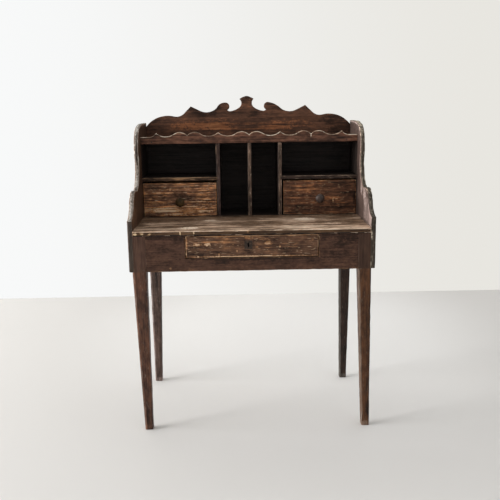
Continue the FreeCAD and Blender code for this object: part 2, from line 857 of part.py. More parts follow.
def make_drawer(name, corner, plan, front_low):
    """The boards of a drawer whose sides' lower left front corner is given; the front stays a blank."""
    x, y, z = corner
    bottom_low = z + size.drawer_bottom_rise
    plan.back_low = bottom_low + plan.bottom
    plan.back_high = plan.top - size.drawer_back_drop
    inset = plan.side - size.drawer_groove_depth
    small_nails = drawer_nails(name, corner, plan)
    bottom_blank = span(
        f"{name}_bottom_board",
        (x + inset, y + plan.front - size.drawer_groove_depth, bottom_low),
        (x + plan.width - inset, y + plan.depth, plan.back_low))
    bottom = keep(cut(f"{name}_bottom", bottom_blank, small_nails))
    housed = plan.side - size.housing_depth
    back_blank = span(
        f"{name}_back_board",
        (x + housed, y + plan.depth - plan.side, plan.back_low),
        (x + plan.width - housed, y + plan.depth, plan.back_high))
    back = keep(cut(f"{name}_back", back_blank, small_nails))
    sides = [
        make_drawer_side(f"{name}_side_left", corner, plan, (bottom, back, small_nails)),
        make_drawer_side(f"{name}_side_right", (x + plan.width - plan.side, y, z), plan,
                         (bottom, back, small_nails)),
    ]
    front_blank = span(f"{name}_front_board", (x, y, front_low), (x + plan.width, y + plan.front, plan.top))
    return cut(f"{name}_front_jointed", front_blank, *sides, bottom)


# Centre drawer with its lock and keyhole plate

def make_keyhole():
    """The keyhole through the plate, the drawer front and the lock's front wall."""
    depth = lock_front + size.lock_wall + size.bolt_gap - front + size.cut_overrun
    low_y = front - size.cut_overrun
    eye_z = drawer_front_high - size.keyhole_drop
    radius = size.keyhole_eye_diameter / 2
    eye = bind(doc.addObject("Part::Cylinder", "keyhole_eye"), Radius=radius, Height=depth)
    place(eye, (-size.keyhole_offset, low_y, eye_z), BACKWARDS)
    slot_height = size.keyhole_length - radius
    slot = box("keyhole_slot",
               (-size.keyhole_offset - size.keyhole_slot_width / 2, low_y, eye_z - slot_height),
               (size.keyhole_slot_width, depth, slot_height))
    return fuse("keyhole_tool", eye, slot)


def make_lock(keyhole):
    """The lock's case with room for the bolt and for the key, and its screws."""
    left = -size.keyhole_offset - size.lock_width / 2
    low = drawer_front_high - size.lock_height
    case = box("lock_case_block", (left, lock_front, low),
               (size.lock_width, size.lock_thickness, size.lock_height))
    channel = around("bolt_channel", bolt_corner, bolt_extent, size.bolt_gap, size.cut_overrun)
    bay_width = size.lock_width * LOCK_BAY_SHARE
    key_bay = span(
        "key_bay",
        (-size.keyhole_offset - bay_width / 2, bolt_front, low + size.lock_wall),
        (-size.keyhole_offset + bay_width / 2, bolt_front + bolt_thickness,
         bolt_low - size.bolt_gap - size.lock_wall))
    solids = []
    for x_share in LOCK_SCREW_SHARES:
        for z_share in LOCK_SCREW_SHARES:
            head = (left + size.lock_width * x_share, drawer_inside, low + size.lock_height * z_share)
            solids.append(spike(
                f"lock_screw_{len(solids) + 1}", head, size.lock_screw_length,
                size.lock_screw_head_diameter, size.lock_screw_tip_diameter, FORWARDS))
    screws = keep(group("lock_screws", solids))
    keep(cut("lock_case", case, channel, key_bay, keyhole, screws))
    return case, screws


def make_keyhole_plate(keyhole):
    """A thin iron plate let flush into the drawer front round the keyhole."""
    middle = drawer_front_high - size.keyhole_drop - size.keyhole_length / 2 + size.keyhole_eye_diameter / 2
    plate = box(
        "keyhole_plate_blank",
        (-size.keyhole_offset - size.keyhole_plate_width / 2, front, middle - size.keyhole_plate_height / 2),
        (size.keyhole_plate_width, size.keyhole_plate_thickness, size.keyhole_plate_height))
    keep(cut("keyhole_plate", plate, keyhole))
    return plate


def make_centre_drawer():
    """The wide drawer under the writing top."""
    plan = SimpleNamespace(
        width=size.centre_drawer_width, depth=centre_drawer_depth, top=drawer_front_high,
        front=size.centre_front_thickness, side=size.centre_side_thickness,
        bottom=size.centre_bottom_thickness)
    corner = (drawer_left, front, runner_top + size.slide_gap)
    jointed = make_drawer("centre_drawer", corner, plan, drawer_front_low)
    keyhole = make_keyhole()
    case, screws = make_lock(keyhole)
    plate = make_keyhole_plate(keyhole)
    keep(cut("centre_drawer_front", jointed, keyhole, case, plate, screws))


make_centre_drawer()


# Small drawers with their knobs

def make_knob(name, corner):
    """A turned mushroom knob with a spigot through the drawer front and a lathe mark in its middle."""
    radius = size.knob_diameter / 2
    spigot = size.knob_spigot_diameter / 2
    dimple = size.knob_dimple_diameter / 2

    def spot(shares):
        along = ZERO if shares[1] == 0 else -(size.knob_length * shares[1])
        return (radius * shares[0], along)

    edges = [
        ((spigot, size.small_front_thickness), None),
        ((spigot, ZERO), None),
    ]
    edges += [(spot(stop), way and spot(way)) for stop, way in KNOB_PROFILE_SHARES]
    edges += [
        ((dimple, -size.knob_length), None),
        ((ZERO, -(size.knob_length - size.knob_dimple_depth)), None),
        ((ZERO, size.small_front_thickness), None),
    ]
    return keep(turned(name, edges[-1][0], edges, corner))


def make_small_drawer(side, sign, divider_gap, top_gap, knob_height):
    """A drawer that stands on the writing top, between a side board and a divider."""
    name = f"small_drawer_{side}"
    face = divider_front + size.small_drawer_setback
    seat = writing_level + size.slide_gap
    outer = inner - size.small_side_gap
    near = divider_places[side] * sign + size.divider_thickness / 2 + divider_gap
    left = near if sign > 0 else -outer
    plan = SimpleNamespace(
        width=outer - near, depth=back_face - size.small_drawer_rear_gap - face,
        top=shelf_low - top_gap, front=size.small_front_thickness, side=size.small_side_thickness,
        bottom=size.small_bottom_thickness)
    jointed = make_drawer(name, (left, face, seat), plan, seat)
    knob = make_knob(f"{name}_knob", (left + plan.width / 2, face, writing_level + knob_height))
    keep(cut(f"{name}_front", jointed, knob))


make_small_drawer("left", -1, size.small_drawer_left_divider_gap, size.small_drawer_left_top_gap,
                  size.left_knob_height)
make_small_drawer("right", 1, size.small_drawer_right_divider_gap, size.small_drawer_right_top_gap,
                  size.right_knob_height)


# Build, check and write the sub-parts

def check():
    """Stop if any feature failed or any sub-part has no valid solid."""
    for feature in doc.Objects:
        faults = [state for state in feature.State if state in ("Invalid", "Error")]
        if faults:
            raise RuntimeError(f"{feature.Name}: {faults}")
    for feature in pieces:
        shape = feature.Shape
        if shape.isNull() or not shape.isValid() or not shape.Solids:
            raise RuntimeError(f"{feature.Name}: no valid solid")


doc.recompute()
check()
os.makedirs("parts", exist_ok=True)
for feature in pieces:
    feature.Shape.exportStep(f"parts/{feature.Label}.step")
print(f"{len(pieces)} sub-parts written")
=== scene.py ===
import json
import math

import bmesh
import bpy
from mathutils import Matrix, Vector
from mathutils.bvhtree import BVHTree

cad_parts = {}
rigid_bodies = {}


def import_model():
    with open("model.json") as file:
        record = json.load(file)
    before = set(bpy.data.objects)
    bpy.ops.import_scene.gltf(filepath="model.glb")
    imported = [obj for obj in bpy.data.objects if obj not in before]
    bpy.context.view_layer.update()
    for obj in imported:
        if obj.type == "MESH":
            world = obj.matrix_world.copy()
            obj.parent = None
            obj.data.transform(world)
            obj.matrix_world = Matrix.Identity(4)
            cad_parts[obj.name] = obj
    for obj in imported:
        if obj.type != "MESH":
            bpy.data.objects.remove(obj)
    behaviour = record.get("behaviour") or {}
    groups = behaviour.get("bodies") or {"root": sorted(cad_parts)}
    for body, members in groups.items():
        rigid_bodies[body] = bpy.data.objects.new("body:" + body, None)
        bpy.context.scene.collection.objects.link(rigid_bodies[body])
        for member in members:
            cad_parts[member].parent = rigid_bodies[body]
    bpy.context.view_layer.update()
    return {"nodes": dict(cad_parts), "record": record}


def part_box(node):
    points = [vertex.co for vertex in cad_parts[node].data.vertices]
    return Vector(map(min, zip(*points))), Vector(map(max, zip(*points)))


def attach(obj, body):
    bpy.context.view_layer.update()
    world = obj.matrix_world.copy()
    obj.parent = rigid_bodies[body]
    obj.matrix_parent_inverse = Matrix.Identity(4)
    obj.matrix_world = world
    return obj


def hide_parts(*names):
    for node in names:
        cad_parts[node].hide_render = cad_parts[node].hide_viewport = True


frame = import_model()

bodies = frame["record"]["behaviour"]["bodies"]
body_of_node = {node: body for body, nodes in bodies.items() for node in nodes}

MM = 0.001

# Nodes that are driven into the boards
NAIL_NODES = [node for node in frame["nodes"] if node.endswith("_nails")]
FASTENER_NODES = NAIL_NODES + ["lock_screws"]


# Modelling by hand

def pick(piece):
    """Select one piece alone and make it active."""
    bpy.ops.object.select_all(action="DESELECT")
    piece.select_set(True)
    bpy.context.view_layer.objects.active = piece


def start_edit(piece):
    """Open a piece for editing with nothing selected."""
    pick(piece)
    bpy.ops.object.mode_set(mode="EDIT")
    bpy.ops.mesh.select_mode(type="FACE")
    bpy.ops.mesh.select_all(action="DESELECT")


def end_edit():
    bpy.ops.object.mode_set(mode="OBJECT")


def select_where(piece, part, test):
    """Select the edges or faces of the piece in edit mode that pass a test, and say how many there are."""
    mesh = bmesh.from_edit_mesh(piece.data)
    mesh.normal_update()
    chosen = [item for item in getattr(mesh, part) if test(item)]
    bpy.ops.mesh.select_mode(type="EDGE" if part == "edges" else "FACE")
    bpy.ops.mesh.select_all(action="DESELECT")
    for item in chosen:
        item.select_set(True)
    bmesh.update_edit_mesh(piece.data)
    return len(chosen)


# Search trees over the desk's surfaces, to find nail holes and joints

def surface_tree(nodes):
    """A search tree over the surfaces of some nodes."""
    points = []
    triangles = []
    for node in nodes:
        mesh = frame["nodes"][node].data
        mesh.calc_loop_triangles()
        first = len(points)
        points += [vertex.co.copy() for vertex in mesh.vertices]
        triangles += [[first + corner for corner in triangle.vertices] for triangle in mesh.loop_triangles]
    return BVHTree.FromPolygons(points, triangles)


FASTENER_TREE = surface_tree(FASTENER_NODES)
NODE_TREES = {node: surface_tree([node]) for node in frame["nodes"] if node not in FASTENER_NODES}
ON_FASTENER = 0.06 * MM
MERGE_DISTANCE = 0.002 * MM
FLAT_ANGLE = math.radians(0.4)


def on_fastener(point):
    return FASTENER_TREE.find_nearest(point, ON_FASTENER)[0] is not None


def board_copy(node):
    """A copy of a board with clean flat faces and its nail holes plugged."""
    mesh = frame["nodes"][node].data.copy()
    piece = bpy.data.objects.new(f"{node}_worn", mesh)
    bpy.context.scene.collection.objects.link(piece)
    start_edit(piece)
    bpy.ops.mesh.select_all(action="SELECT")
    bpy.ops.mesh.remove_doubles(threshold=MERGE_DISTANCE)
    holes = select_where(piece, "faces", lambda face: on_fastener(face.calc_center_median())
                         and all(on_fastener(vertex.co) for vertex in face.verts))
    if holes:
        bpy.ops.mesh.delete(type="FACE")
        bpy.ops.mesh.select_all(action="SELECT")
        bpy.ops.mesh.fill_holes(sides=0)
    bpy.ops.mesh.select_all(action="SELECT")
    bpy.ops.mesh.dissolve_limited(angle_limit=FLAT_ANGLE)
    end_edit()
    return piece


# Worn boards: rounded arrises, a ring beside them for the wear to fade in, and a grid for dents

SHARP_ANGLE = math.radians(25)
JOINT_REACH = 0.3 * MM
PROUD_LIMIT = 0.02 * MM
NARROW_FACE = 9 * MM
WIDE_FACE = 22 * MM
NARROW_RING = 2.4 * MM
ARRIS_SLOT = 1
FRONT_SLOT, REAR_SLOT = 1, 2
FACING = 0.7
LEANING = 0.2
UPRIGHT = 0.9
RING_LENGTHS = 2
LEAST_CELLS = 2
BACK_BOARDS = {"back_board_lower", "back_board_upper", "crest_board"}


def joined(node, point):
    """True where a point of a board touches another piece; the back boards keep open seams."""
    for other, tree in NODE_TREES.items():
        seam = {node, other} <= BACK_BOARDS
        if other != node and not seam and tree.find_nearest(point, JOINT_REACH)[0] is not None:
            return True
    return False


def is_arris(node, edge):
    """True for an outer corner of a board that isn't hidden in a joint."""
    if not edge.is_manifold or not edge.is_convex or edge.calc_face_angle() < SHARP_ANGLE:
        return False
    start, end = (vertex.co for vertex in edge.verts)
    return not joined(node, (start + end) / 2)


def extents(points):
    """How far points reach along each axis."""
    return [max(point[axis] for point in points) - min(point[axis] for point in points)
            for axis in range(3)]


def face_width(face):
    """The second largest extent of a flat face."""
    return sorted(extents([vertex.co for vertex in face.verts]))[1]


def on_left_face(edge):
    """True for an edge of a board's left face, other than its lowest one."""
    normals = [face.normal for face in edge.link_faces]
    if any(normal.z < -UPRIGHT for normal in normals):
        return False
    return any(normal.x < -UPRIGHT for normal in normals)


def bevel_where(piece, test, width, segments):
    """Round the edges that pass a test; the new faces are marked by their material slot."""
    if select_where(piece, "edges", test):
        bpy.ops.mesh.bevel(offset=width, segments=segments, affect="EDGES", clamp_overlap=False,
                           material=ARRIS_SLOT)


def round_arrises(piece, node, width, segments, left_width):
    """Round the free corners of a board, those of its left face first if they are worn more."""
    if left_width:
        bevel_where(piece, lambda edge: is_arris(node, edge) and on_left_face(edge),
                    left_width, segments + 1)
    bevel_where(piece, lambda edge: is_arris(node, edge), width, segments)


def keep_inside(piece, node, width):
    """Pull points that a bevel left proud of the board, or far from it, back to its surface."""
    low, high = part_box(node)
    for vertex in piece.data.vertices:
        place, normal, _, _ = NODE_TREES[node].find_nearest(vertex.co)
        away = vertex.co - place
        past_box = max(max(low[axis] - vertex.co[axis], vertex.co[axis] - high[axis]) for axis in range(3))
        if max(away.dot(normal), past_box) > PROUD_LIMIT or away.length > width:
            vertex.co = place


def add_rings(piece, wide_ring):
    """Inset the flat faces, so that wear can fade beside their edges."""
    for least, most, ring in ((NARROW_FACE, WIDE_FACE, NARROW_RING), (WIDE_FACE, math.inf, wide_ring)):
        least_area = least ** 2 * RING_LENGTHS
        if select_where(piece, "faces", lambda face: face.material_index != ARRIS_SLOT
                        and least < face_width(face) <= most and face.calc_area() > least_area):
            bpy.ops.mesh.inset(thickness=ring, use_individual=True, use_even_offset=False)


def cut_across(axis, level):
    """Cut the piece in edit mode along a plane across an axis."""
    normal = Vector((0, 0, 0))
    normal[axis] = 1
    bpy.ops.mesh.select_all(action="SELECT")
    bpy.ops.mesh.bisect(plane_co=normal * level, plane_no=normal)


def add_grid(piece, cell):
    """Cut a board into cells along all three axes."""
    points = [vertex.co.copy() for vertex in bmesh.from_edit_mesh(piece.data).verts]
    for axis in range(3):
        low = min(point[axis] for point in points)
        high = max(point[axis] for point in points)
        count = max(LEAST_CELLS, round((high - low) / cell))
        for number in range(1, count):
            cut_across(axis, low + (high - low) * number / count)


DENT_DETAIL = 2


def dent_texture(name, grain_size, contrast, brightness):
    texture = bpy.data.textures.new(name, "CLOUDS")
    texture.noise_scale = grain_size
    texture.noise_depth = DENT_DETAIL
    texture.contrast = contrast
    texture.intensity = brightness
    texture.use_clamp = True
    return texture


CHIP_TEXTURE = dent_texture("chips", 14 * MM, 3.2, 0.72)
PLANING_TEXTURE = dent_texture("planing", 70 * MM, 1.4, 1.0)
PLANING_DEPTH = 0.35 * MM


def dent(piece, group, texture, depth):
    """Push the vertices of a group inwards by a cloudy pattern."""
    modifier = piece.modifiers.new(texture.name, "DISPLACE")
    modifier.texture = texture
    modifier.texture_coords = "LOCAL"
    modifier.vertex_group = group
    modifier.mid_level = 0
    modifier.strength = -depth
    pick(piece)
    bpy.ops.object.modifier_apply(modifier=modifier.name)


def group_vertices(piece, name, indices):
    group = piece.vertex_groups.new(name=name)
    group.add(sorted(indices), 1.0, "REPLACE")
    return name


GRAIN_SHIFT = Vector((1.37, 0.61, 0.29))
GRAIN_SHIFTS = 17
SMOOTH_ANGLE = math.radians(38)
ARRIS_WEAR = 0.7


def add_grain(piece, along):
    """Store grain coordinates: along the grain, across the board and through it, shifted for each piece."""
    points = [vertex.co for vertex in piece.data.vertices]
    spans = extents(points)
    order = sorted(range(3), key=lambda axis: -spans[axis])
    if along is not None:
        order.remove("xyz".index(along))
        order.insert(0, "xyz".index(along))
    shift = GRAIN_SHIFT * (len(bpy.data.objects) % GRAIN_SHIFTS)
    values = []
    for point in points:
        values += [point[axis] + shift[place] for place, axis in enumerate(order)]
    attribute = piece.data.attributes.new("grain", "FLOAT_VECTOR", "POINT")
    attribute.data.foreach_set("vector", values)


def add_wear(piece, before, arrises, chip, wear_and_highlight_where):
    """Store wear: high on the arrises and highest where they are chipped, kept only where a test allows; on
    the legs and dividers that keeps it to their left side, as wear and a painted highlight.
    """
    values = [0.0] * len(before)
    for index in arrises:
        moved = (piece.data.vertices[index].co - before[index]).length
        values[index] = ARRIS_WEAR + (1 - ARRIS_WEAR) * min(1.0, moved / chip)
    for index, place in enumerate(before):
        if wear_and_highlight_where and not wear_and_highlight_where(place):
            values[index] = 0.0
    attribute = piece.data.attributes.new("wear", "FLOAT", "POINT")
    attribute.data.foreach_set("value", values)


def lower_lip(centre, normal):
    return normal.y < -LEANING and normal.z < -LEANING


def give_finishes(piece, flat_faces, regions):
    """Front and rear faces and the lower lip take their own finish, then each region takes its own."""
    for polygon in piece.data.polygons:
        polygon.material_index = FRONT_SLOT if lower_lip(polygon.center, polygon.normal) else 0
    for index in flat_faces:
        polygon = piece.data.polygons[index]
        if abs(polygon.normal.y) > FACING:
            polygon.material_index = FRONT_SLOT if polygon.normal.y < 0 else REAR_SLOT
    for region_finish, inside in regions:
        piece.data.materials.append(region_finish)
        for polygon in piece.data.polygons:
            if inside(polygon.center, polygon.normal):
                polygon.material_index = len(piece.data.materials) - 1


def worn_board(node, finish, cell, arris=1.4, chip=1.0, along=None, segments=2, wear_and_highlight_where=None,
               front_finish=None, rear_finish=None, left_arris=0.0, ring=5.0, cuts=(), regions=()):
    """Replace a board by a worn copy, with its own finish at front, rear or in a region; millimetres."""
    piece = board_copy(node)
    piece.data.materials.clear()
    for face_finish in (finish, front_finish or finish, rear_finish or finish):
        piece.data.materials.append(face_finish)
    widest_arris = max(arris, left_arris) * MM
    start_edit(piece)
    round_arrises(piece, node, arris * MM, segments, left_arris * MM)
    end_edit()
    keep_inside(piece, node, widest_arris)
    start_edit(piece)
    add_rings(piece, ring * MM)
    add_grid(piece, cell * MM)
    for axis, level in cuts:
        cut_across(axis, level)
    end_edit()
    keep_inside(piece, node, widest_arris)
    polygons = piece.data.polygons
    arrises = {index for polygon in polygons if polygon.material_index == ARRIS_SLOT
               for index in polygon.vertices}
    flat_faces = [polygon.index for polygon in polygons if polygon.material_index != ARRIS_SLOT]
    flats = set(range(len(piece.data.vertices))) - arrises
    before = [vertex.co.copy() for vertex in piece.data.vertices]
    dent(piece, group_vertices(piece, "arrises", arrises), CHIP_TEXTURE, chip * MM)
    dent(piece, group_vertices(piece, "flats", flats), PLANING_TEXTURE, PLANING_DEPTH)
    piece.vertex_groups.clear()
    add_wear(piece, before, arrises, chip * MM, wear_and_highlight_where)
    add_grain(piece, along)
    give_finishes(piece, flat_faces, regions)
    pick(piece)
    bpy.ops.object.shade_smooth_by_angle(angle=SMOOTH_ANGLE)
    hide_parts(node)
    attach(piece, body_of_node[node])


# Node trees

def fill(tree, node, inputs):
    """Join or fill the inputs of a node."""
    for socket, value in inputs.items():
        if isinstance(value, bpy.types.NodeSocket):
            tree.links.new(value, node.inputs[socket])
        else:
            node.inputs[socket].default_value = value


def add(tree, kind, inputs=None, **settings):
    """Add a node, set it up, then join or fill its inputs."""
    node = tree.nodes.new(kind)
    for name, value in settings.items():
        setattr(node, name, value)
    fill(tree, node, inputs or {})
    return node


def calculate(tree, operation, *values):
    return add(tree, "ShaderNodeMath", dict(enumerate(values)), operation=operation).outputs[0]


def weighted(tree, *terms):
    """The sum of values, each with its weight."""
    total = 0.0
    for value, weight in terms:
        total = calculate(tree, "MULTIPLY_ADD", value, weight, total)
    return total


def combine(tree, operation, first, second):
    return add(tree, "ShaderNodeVectorMath", {0: first, 1: second}, operation=operation).outputs[0]


def scaled(tree, vector, factors):
    return combine(tree, "MULTIPLY", vector, factors)


def length(tree, vector):
    return add(tree, "ShaderNodeVectorMath", {0: vector}, operation="LENGTH").outputs["Value"]


def place_on_piece(tree):
    return tree.nodes.new("ShaderNodeTexCoord").outputs["Object"]


NOISE_LOW, NOISE_HIGH = 0.28, 0.72


def noise(tree, vector, factors, detail=3.0, roughness=0.55):
    """Noise spread over 0 to 1, on a vector stretched by factors per metre."""
    cloud = add(tree, "ShaderNodeTexNoise", {"Vector": scaled(tree, vector, factors), "Scale": 1.0,
                                             "Detail": detail, "Roughness": roughness}).outputs["Fac"]
    return add(tree, "ShaderNodeMapRange", {"Value": cloud, "From Min": NOISE_LOW,
                                            "From Max": NOISE_HIGH}).outputs["Result"]


def ramp(tree, value, low, high, to_low=0.0, to_high=1.0):
    """A smooth step from one value to another."""
    return add(tree, "ShaderNodeMapRange", {"Value": value, "From Min": low, "From Max": high,
                                            "To Min": to_low, "To Max": to_high},
               interpolation_type="SMOOTHSTEP").outputs["Result"]


def mixed(tree, share, first, second, blend="MIX"):
    return add(tree, "ShaderNodeMix", {0: share, 6: first, 7: second}, data_type="RGBA",
               blend_type=blend).outputs[2]


def new_group(name, inputs, outputs):
    """A shader node group with named sockets: its tree, its given values and its result node."""
    tree = bpy.data.node_groups.new(name, "ShaderNodeTree")
    for socket, kind in inputs:
        tree.interface.new_socket(socket, in_out="INPUT", socket_type=kind)
    for socket, kind in outputs:
        tree.interface.new_socket(socket, in_out="OUTPUT", socket_type=kind)
    return tree, tree.nodes.new("NodeGroupInput").outputs, tree.nodes.new("NodeGroupOutput").inputs


FLOAT, VECTOR, COLOUR = "NodeSocketFloat", "NodeSocketVector", "NodeSocketColor"

# Patterns in the wood: repeats per metre along the grain, across the board and through it
STREAK_SCALE = (3.4, 140, 140)
FINE_SCALE = (10, 380, 380)
CHECK_SCALE = (1.6, 75, 75)
BLOTCH_SCALE = (7, 20, 20)
MOTTLE_SCALE = (34, 80, 80)
DASH_SCALE = (52, 310, 310)
RUB_SCALE = (26, 40, 40)
RING_STRETCH = (0.12, 1, 1)
RING_SCALE = 34.0
RING_WAVER = 2.6
HEART_OFFSET = (0, 0, 0.06)

# Ranges over which each stage of the wear comes up, and what it changes
THIN_RANGE = (0.34, 0.6)
BARE_RANGE = (0.7, 0.88)
NICK_RANGE = (0.8, 0.95)
CRACK_RANGE = (0.02, 0.075)
CRACK_TONES = (1.05, 0.72)
GRIME_AND_SHADE_RANGE = (-0.25, 0.14)
GRIME_AND_SHADE_TONES = (0.4, 1.0)
DARKEST_TONE = 0.1
DULLNESS_RANGE = (0.0, 1.1)
PINE_ROUGHNESS = (0.46, 0.82)


def make_worn_pine():
    """Stain over pine in four stages: grime (which also carries the painted shade of dark spots), whole
    stain, stain worn thin, and bare wood.
    """
    tree, given, result = new_group("worn_pine", [
        ("Grain", VECTOR), ("Worn", FLOAT), ("Edge", FLOAT), ("Streaks", FLOAT), ("Patches", FLOAT),
        ("Contrast", FLOAT), ("Nicks", FLOAT), ("Ragged", FLOAT), ("Stain", COLOUR), ("Warm Stain", COLOUR),
        ("Thin Stain", COLOUR), ("Bare Wood", COLOUR),
    ], [("Color", COLOUR), ("Roughness", FLOAT), ("Height", FLOAT)])
    grain = given["Grain"]
    streak = noise(tree, grain, STREAK_SCALE, 5.0, 0.64)
    fine = noise(tree, grain, FINE_SCALE, 3.0, 0.6)
    check = calculate(tree, "SUBTRACT", noise(tree, grain, CHECK_SCALE, 3.0, 0.6), 0.5)
    crack = ramp(tree, calculate(tree, "ABSOLUTE", check), *CRACK_RANGE, 1.0, 0.0)
    blotch = noise(tree, grain, BLOTCH_SCALE, 4.0, 0.6)
    mottle = noise(tree, grain, MOTTLE_SCALE, 3.0, 0.6)
    dash = noise(tree, grain, DASH_SCALE, 2.0, 0.5)
    rub = noise(tree, grain, RUB_SCALE, 2.0)
    heart = combine(tree, "ADD", scaled(tree, grain, RING_STRETCH), HEART_OFFSET)
    rings = add(tree, "ShaderNodeTexWave", {"Vector": heart, "Scale": RING_SCALE, "Distortion": RING_WAVER,
                                            "Detail": 2.0, "Detail Scale": 0.6},
                wave_type="RINGS").outputs["Fac"]

    # How far the stain has gone: thin first, then bare wood
    pattern = calculate(tree, "SUBTRACT", weighted(tree, (streak, 0.5), (fine, 0.3), (mottle, 0.2)), 0.5)
    flat = calculate(tree, "MULTIPLY_ADD", pattern, given["Streaks"], given["Worn"])
    flat = calculate(tree, "MULTIPLY_ADD", calculate(tree, "SUBTRACT", blotch, 0.5), given["Patches"], flat)
    uneven = calculate(tree, "SUBTRACT", weighted(tree, (rub, 0.54), (mottle, 0.36)), 0.45)
    rubbed = calculate(tree, "MULTIPLY_ADD", uneven, given["Ragged"], 0.8)
    field = calculate(tree, "MAXIMUM", flat, calculate(tree, "MULTIPLY", rubbed, given["Edge"]))
    thin = ramp(tree, field, *THIN_RANGE)
    nick = calculate(tree, "MULTIPLY", ramp(tree, dash, *NICK_RANGE), given["Nicks"])
    bare = calculate(tree, "MAXIMUM", ramp(tree, field, *BARE_RANGE), nick)

    # Colour, roughness and relief from these stages
    spread = calculate(tree, "SUBTRACT", weighted(tree, (streak, 0.35), (fine, 0.35), (mottle, 0.3)), 0.5)
    tone = calculate(tree, "MULTIPLY_ADD", calculate(tree, "MULTIPLY", spread, 2.0), given["Contrast"], 1.0)
    # Grime darkens where the field falls low; on some boards dark spots push it there as painted shade.
    tone = calculate(tree, "MULTIPLY", tone, ramp(tree, flat, *GRIME_AND_SHADE_RANGE, *GRIME_AND_SHADE_TONES))
    tone = calculate(tree, "MULTIPLY", tone, ramp(tree, crack, 0.0, 1.0, *CRACK_TONES))
    stain = mixed(tree, weighted(tree, (blotch, 0.65), (mottle, 0.35)), given["Stain"], given["Warm Stain"])
    surface = mixed(tree, calculate(tree, "MULTIPLY", thin, 0.9), stain, given["Thin Stain"])
    surface = mixed(tree, 1.0, surface, calculate(tree, "MAXIMUM", tone, DARKEST_TONE), "MULTIPLY")
    wood = mixed(tree, calculate(tree, "MULTIPLY", rings, 0.45), given["Bare Wood"], given["Thin Stain"])
    surface = mixed(tree, calculate(tree, "MULTIPLY", bare, 0.95), surface, wood)
    tree.links.new(surface, result["Color"])
    dullness = weighted(tree, (bare, 0.5), (thin, 0.3), (mottle, 0.4))
    tree.links.new(ramp(tree, dullness, *DULLNESS_RANGE, *PINE_ROUGHNESS), result["Roughness"])
    relief = weighted(tree, (fine, 0.5), (streak, 0.45), (dash, 0.2), (thin, -0.2), (bare, -0.3),
                      (crack, -0.7))
    tree.links.new(relief, result["Height"])
    return tree


RIM_RANGE = (0.5, 1.15)
RIM_RAGGEDNESS = 0.9


def make_ragged_patch():
    """A soft spot with a ragged rim; above 0 it adds wear, below 0 it darkens, and on some boards the spots
    are painted light and shade.
    """
    tree, given, result = new_group("ragged_patch", [
        ("Position", VECTOR), ("Rough", FLOAT), ("Centre", VECTOR), ("Reach", VECTOR), ("Strength", FLOAT),
    ], [("Mask", FLOAT)])
    away = combine(tree, "SUBTRACT", given["Position"], given["Centre"])
    distance = length(tree, combine(tree, "DIVIDE", away, given["Reach"]))
    uneven = calculate(tree, "SUBTRACT", given["Rough"], 0.5)
    ragged = calculate(tree, "MULTIPLY_ADD", uneven, RIM_RAGGEDNESS, distance)
    mask = ramp(tree, ragged, *RIM_RANGE, 1.0, 0.0)
    tree.links.new(calculate(tree, "MULTIPLY", mask, given["Strength"]), result["Mask"])
    return tree


WORN_PINE = make_worn_pine()
RAGGED_PATCH = make_ragged_patch()


# Finishes

def colour(red, green, blue):
    """A colour from its screen values of 0 to 255."""
    def linear(value):
        share = value / 255
        return share / 12.92 if share <= 0.04045 else ((share + 0.055) / 1.055) ** 2.4
    return (linear(red), linear(green), linear(blue), 1.0)


def new_finish(name):
    """A material with an empty tree, its surface shader and its output."""
    material = bpy.data.materials.new(name)
    material.use_nodes = True
    tree = material.node_tree
    tree.nodes.clear()
    shader = tree.nodes.new("ShaderNodeBsdfPrincipled")
    output = tree.nodes.new("ShaderNodeOutputMaterial")
    tree.links.new(shader.outputs["BSDF"], output.inputs["Surface"])
    return material, tree, shader


def add_relief(tree, shader, height, strength, depth):
    relief = add(tree, "ShaderNodeBump", {"Height": height, "Strength": strength, "Distance": depth})
    tree.links.new(relief.outputs["Normal"], shader.inputs["Normal"])


THROUGH_BOARD = 4
RIM_SCALE = (120, 120, 170)


def spot_place(node, spot, flat_axes):
    """Centre and reach of a worn spot: shares of the board's face, then half sizes in millimetres."""
    low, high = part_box(node)
    across, up, half_across, half_up, strength = spot
    centre = (low + high) / 2
    reach = (high - low) * THROUGH_BOARD
    for axis, share, half in zip(flat_axes, (across, up), (half_across, half_up)):
        centre[axis] = low[axis] + (high[axis] - low[axis]) * share
        reach[axis] = half * MM
    return centre, reach, strength


def wear_light_and_shade_field(tree, base, node, spots, flat_axes):
    """The wear over a board, with painted light and shade on some boards: an even share plus its spots."""
    position = place_on_piece(tree)
    rough = noise(tree, position, RIM_SCALE, 4.0, 0.65)
    field = base
    for spot in spots:
        centre, reach, strength = spot_place(node, spot, flat_axes)
        patch = add(tree, "ShaderNodeGroup", node_tree=RAGGED_PATCH)
        fill(tree, patch, {"Position": position, "Rough": rough, "Centre": centre, "Reach": reach,
                           "Strength": strength})
        field = calculate(tree, "ADD", patch.outputs["Mask"], field)
    return field


FACE_AXES = (0, 2)
TOP_AXES = (0, 1)
SIDE_AXES = (1, 2)
GRAIN_RELIEF = 0.45
GRAIN_DEPTH = 1.0 * MM


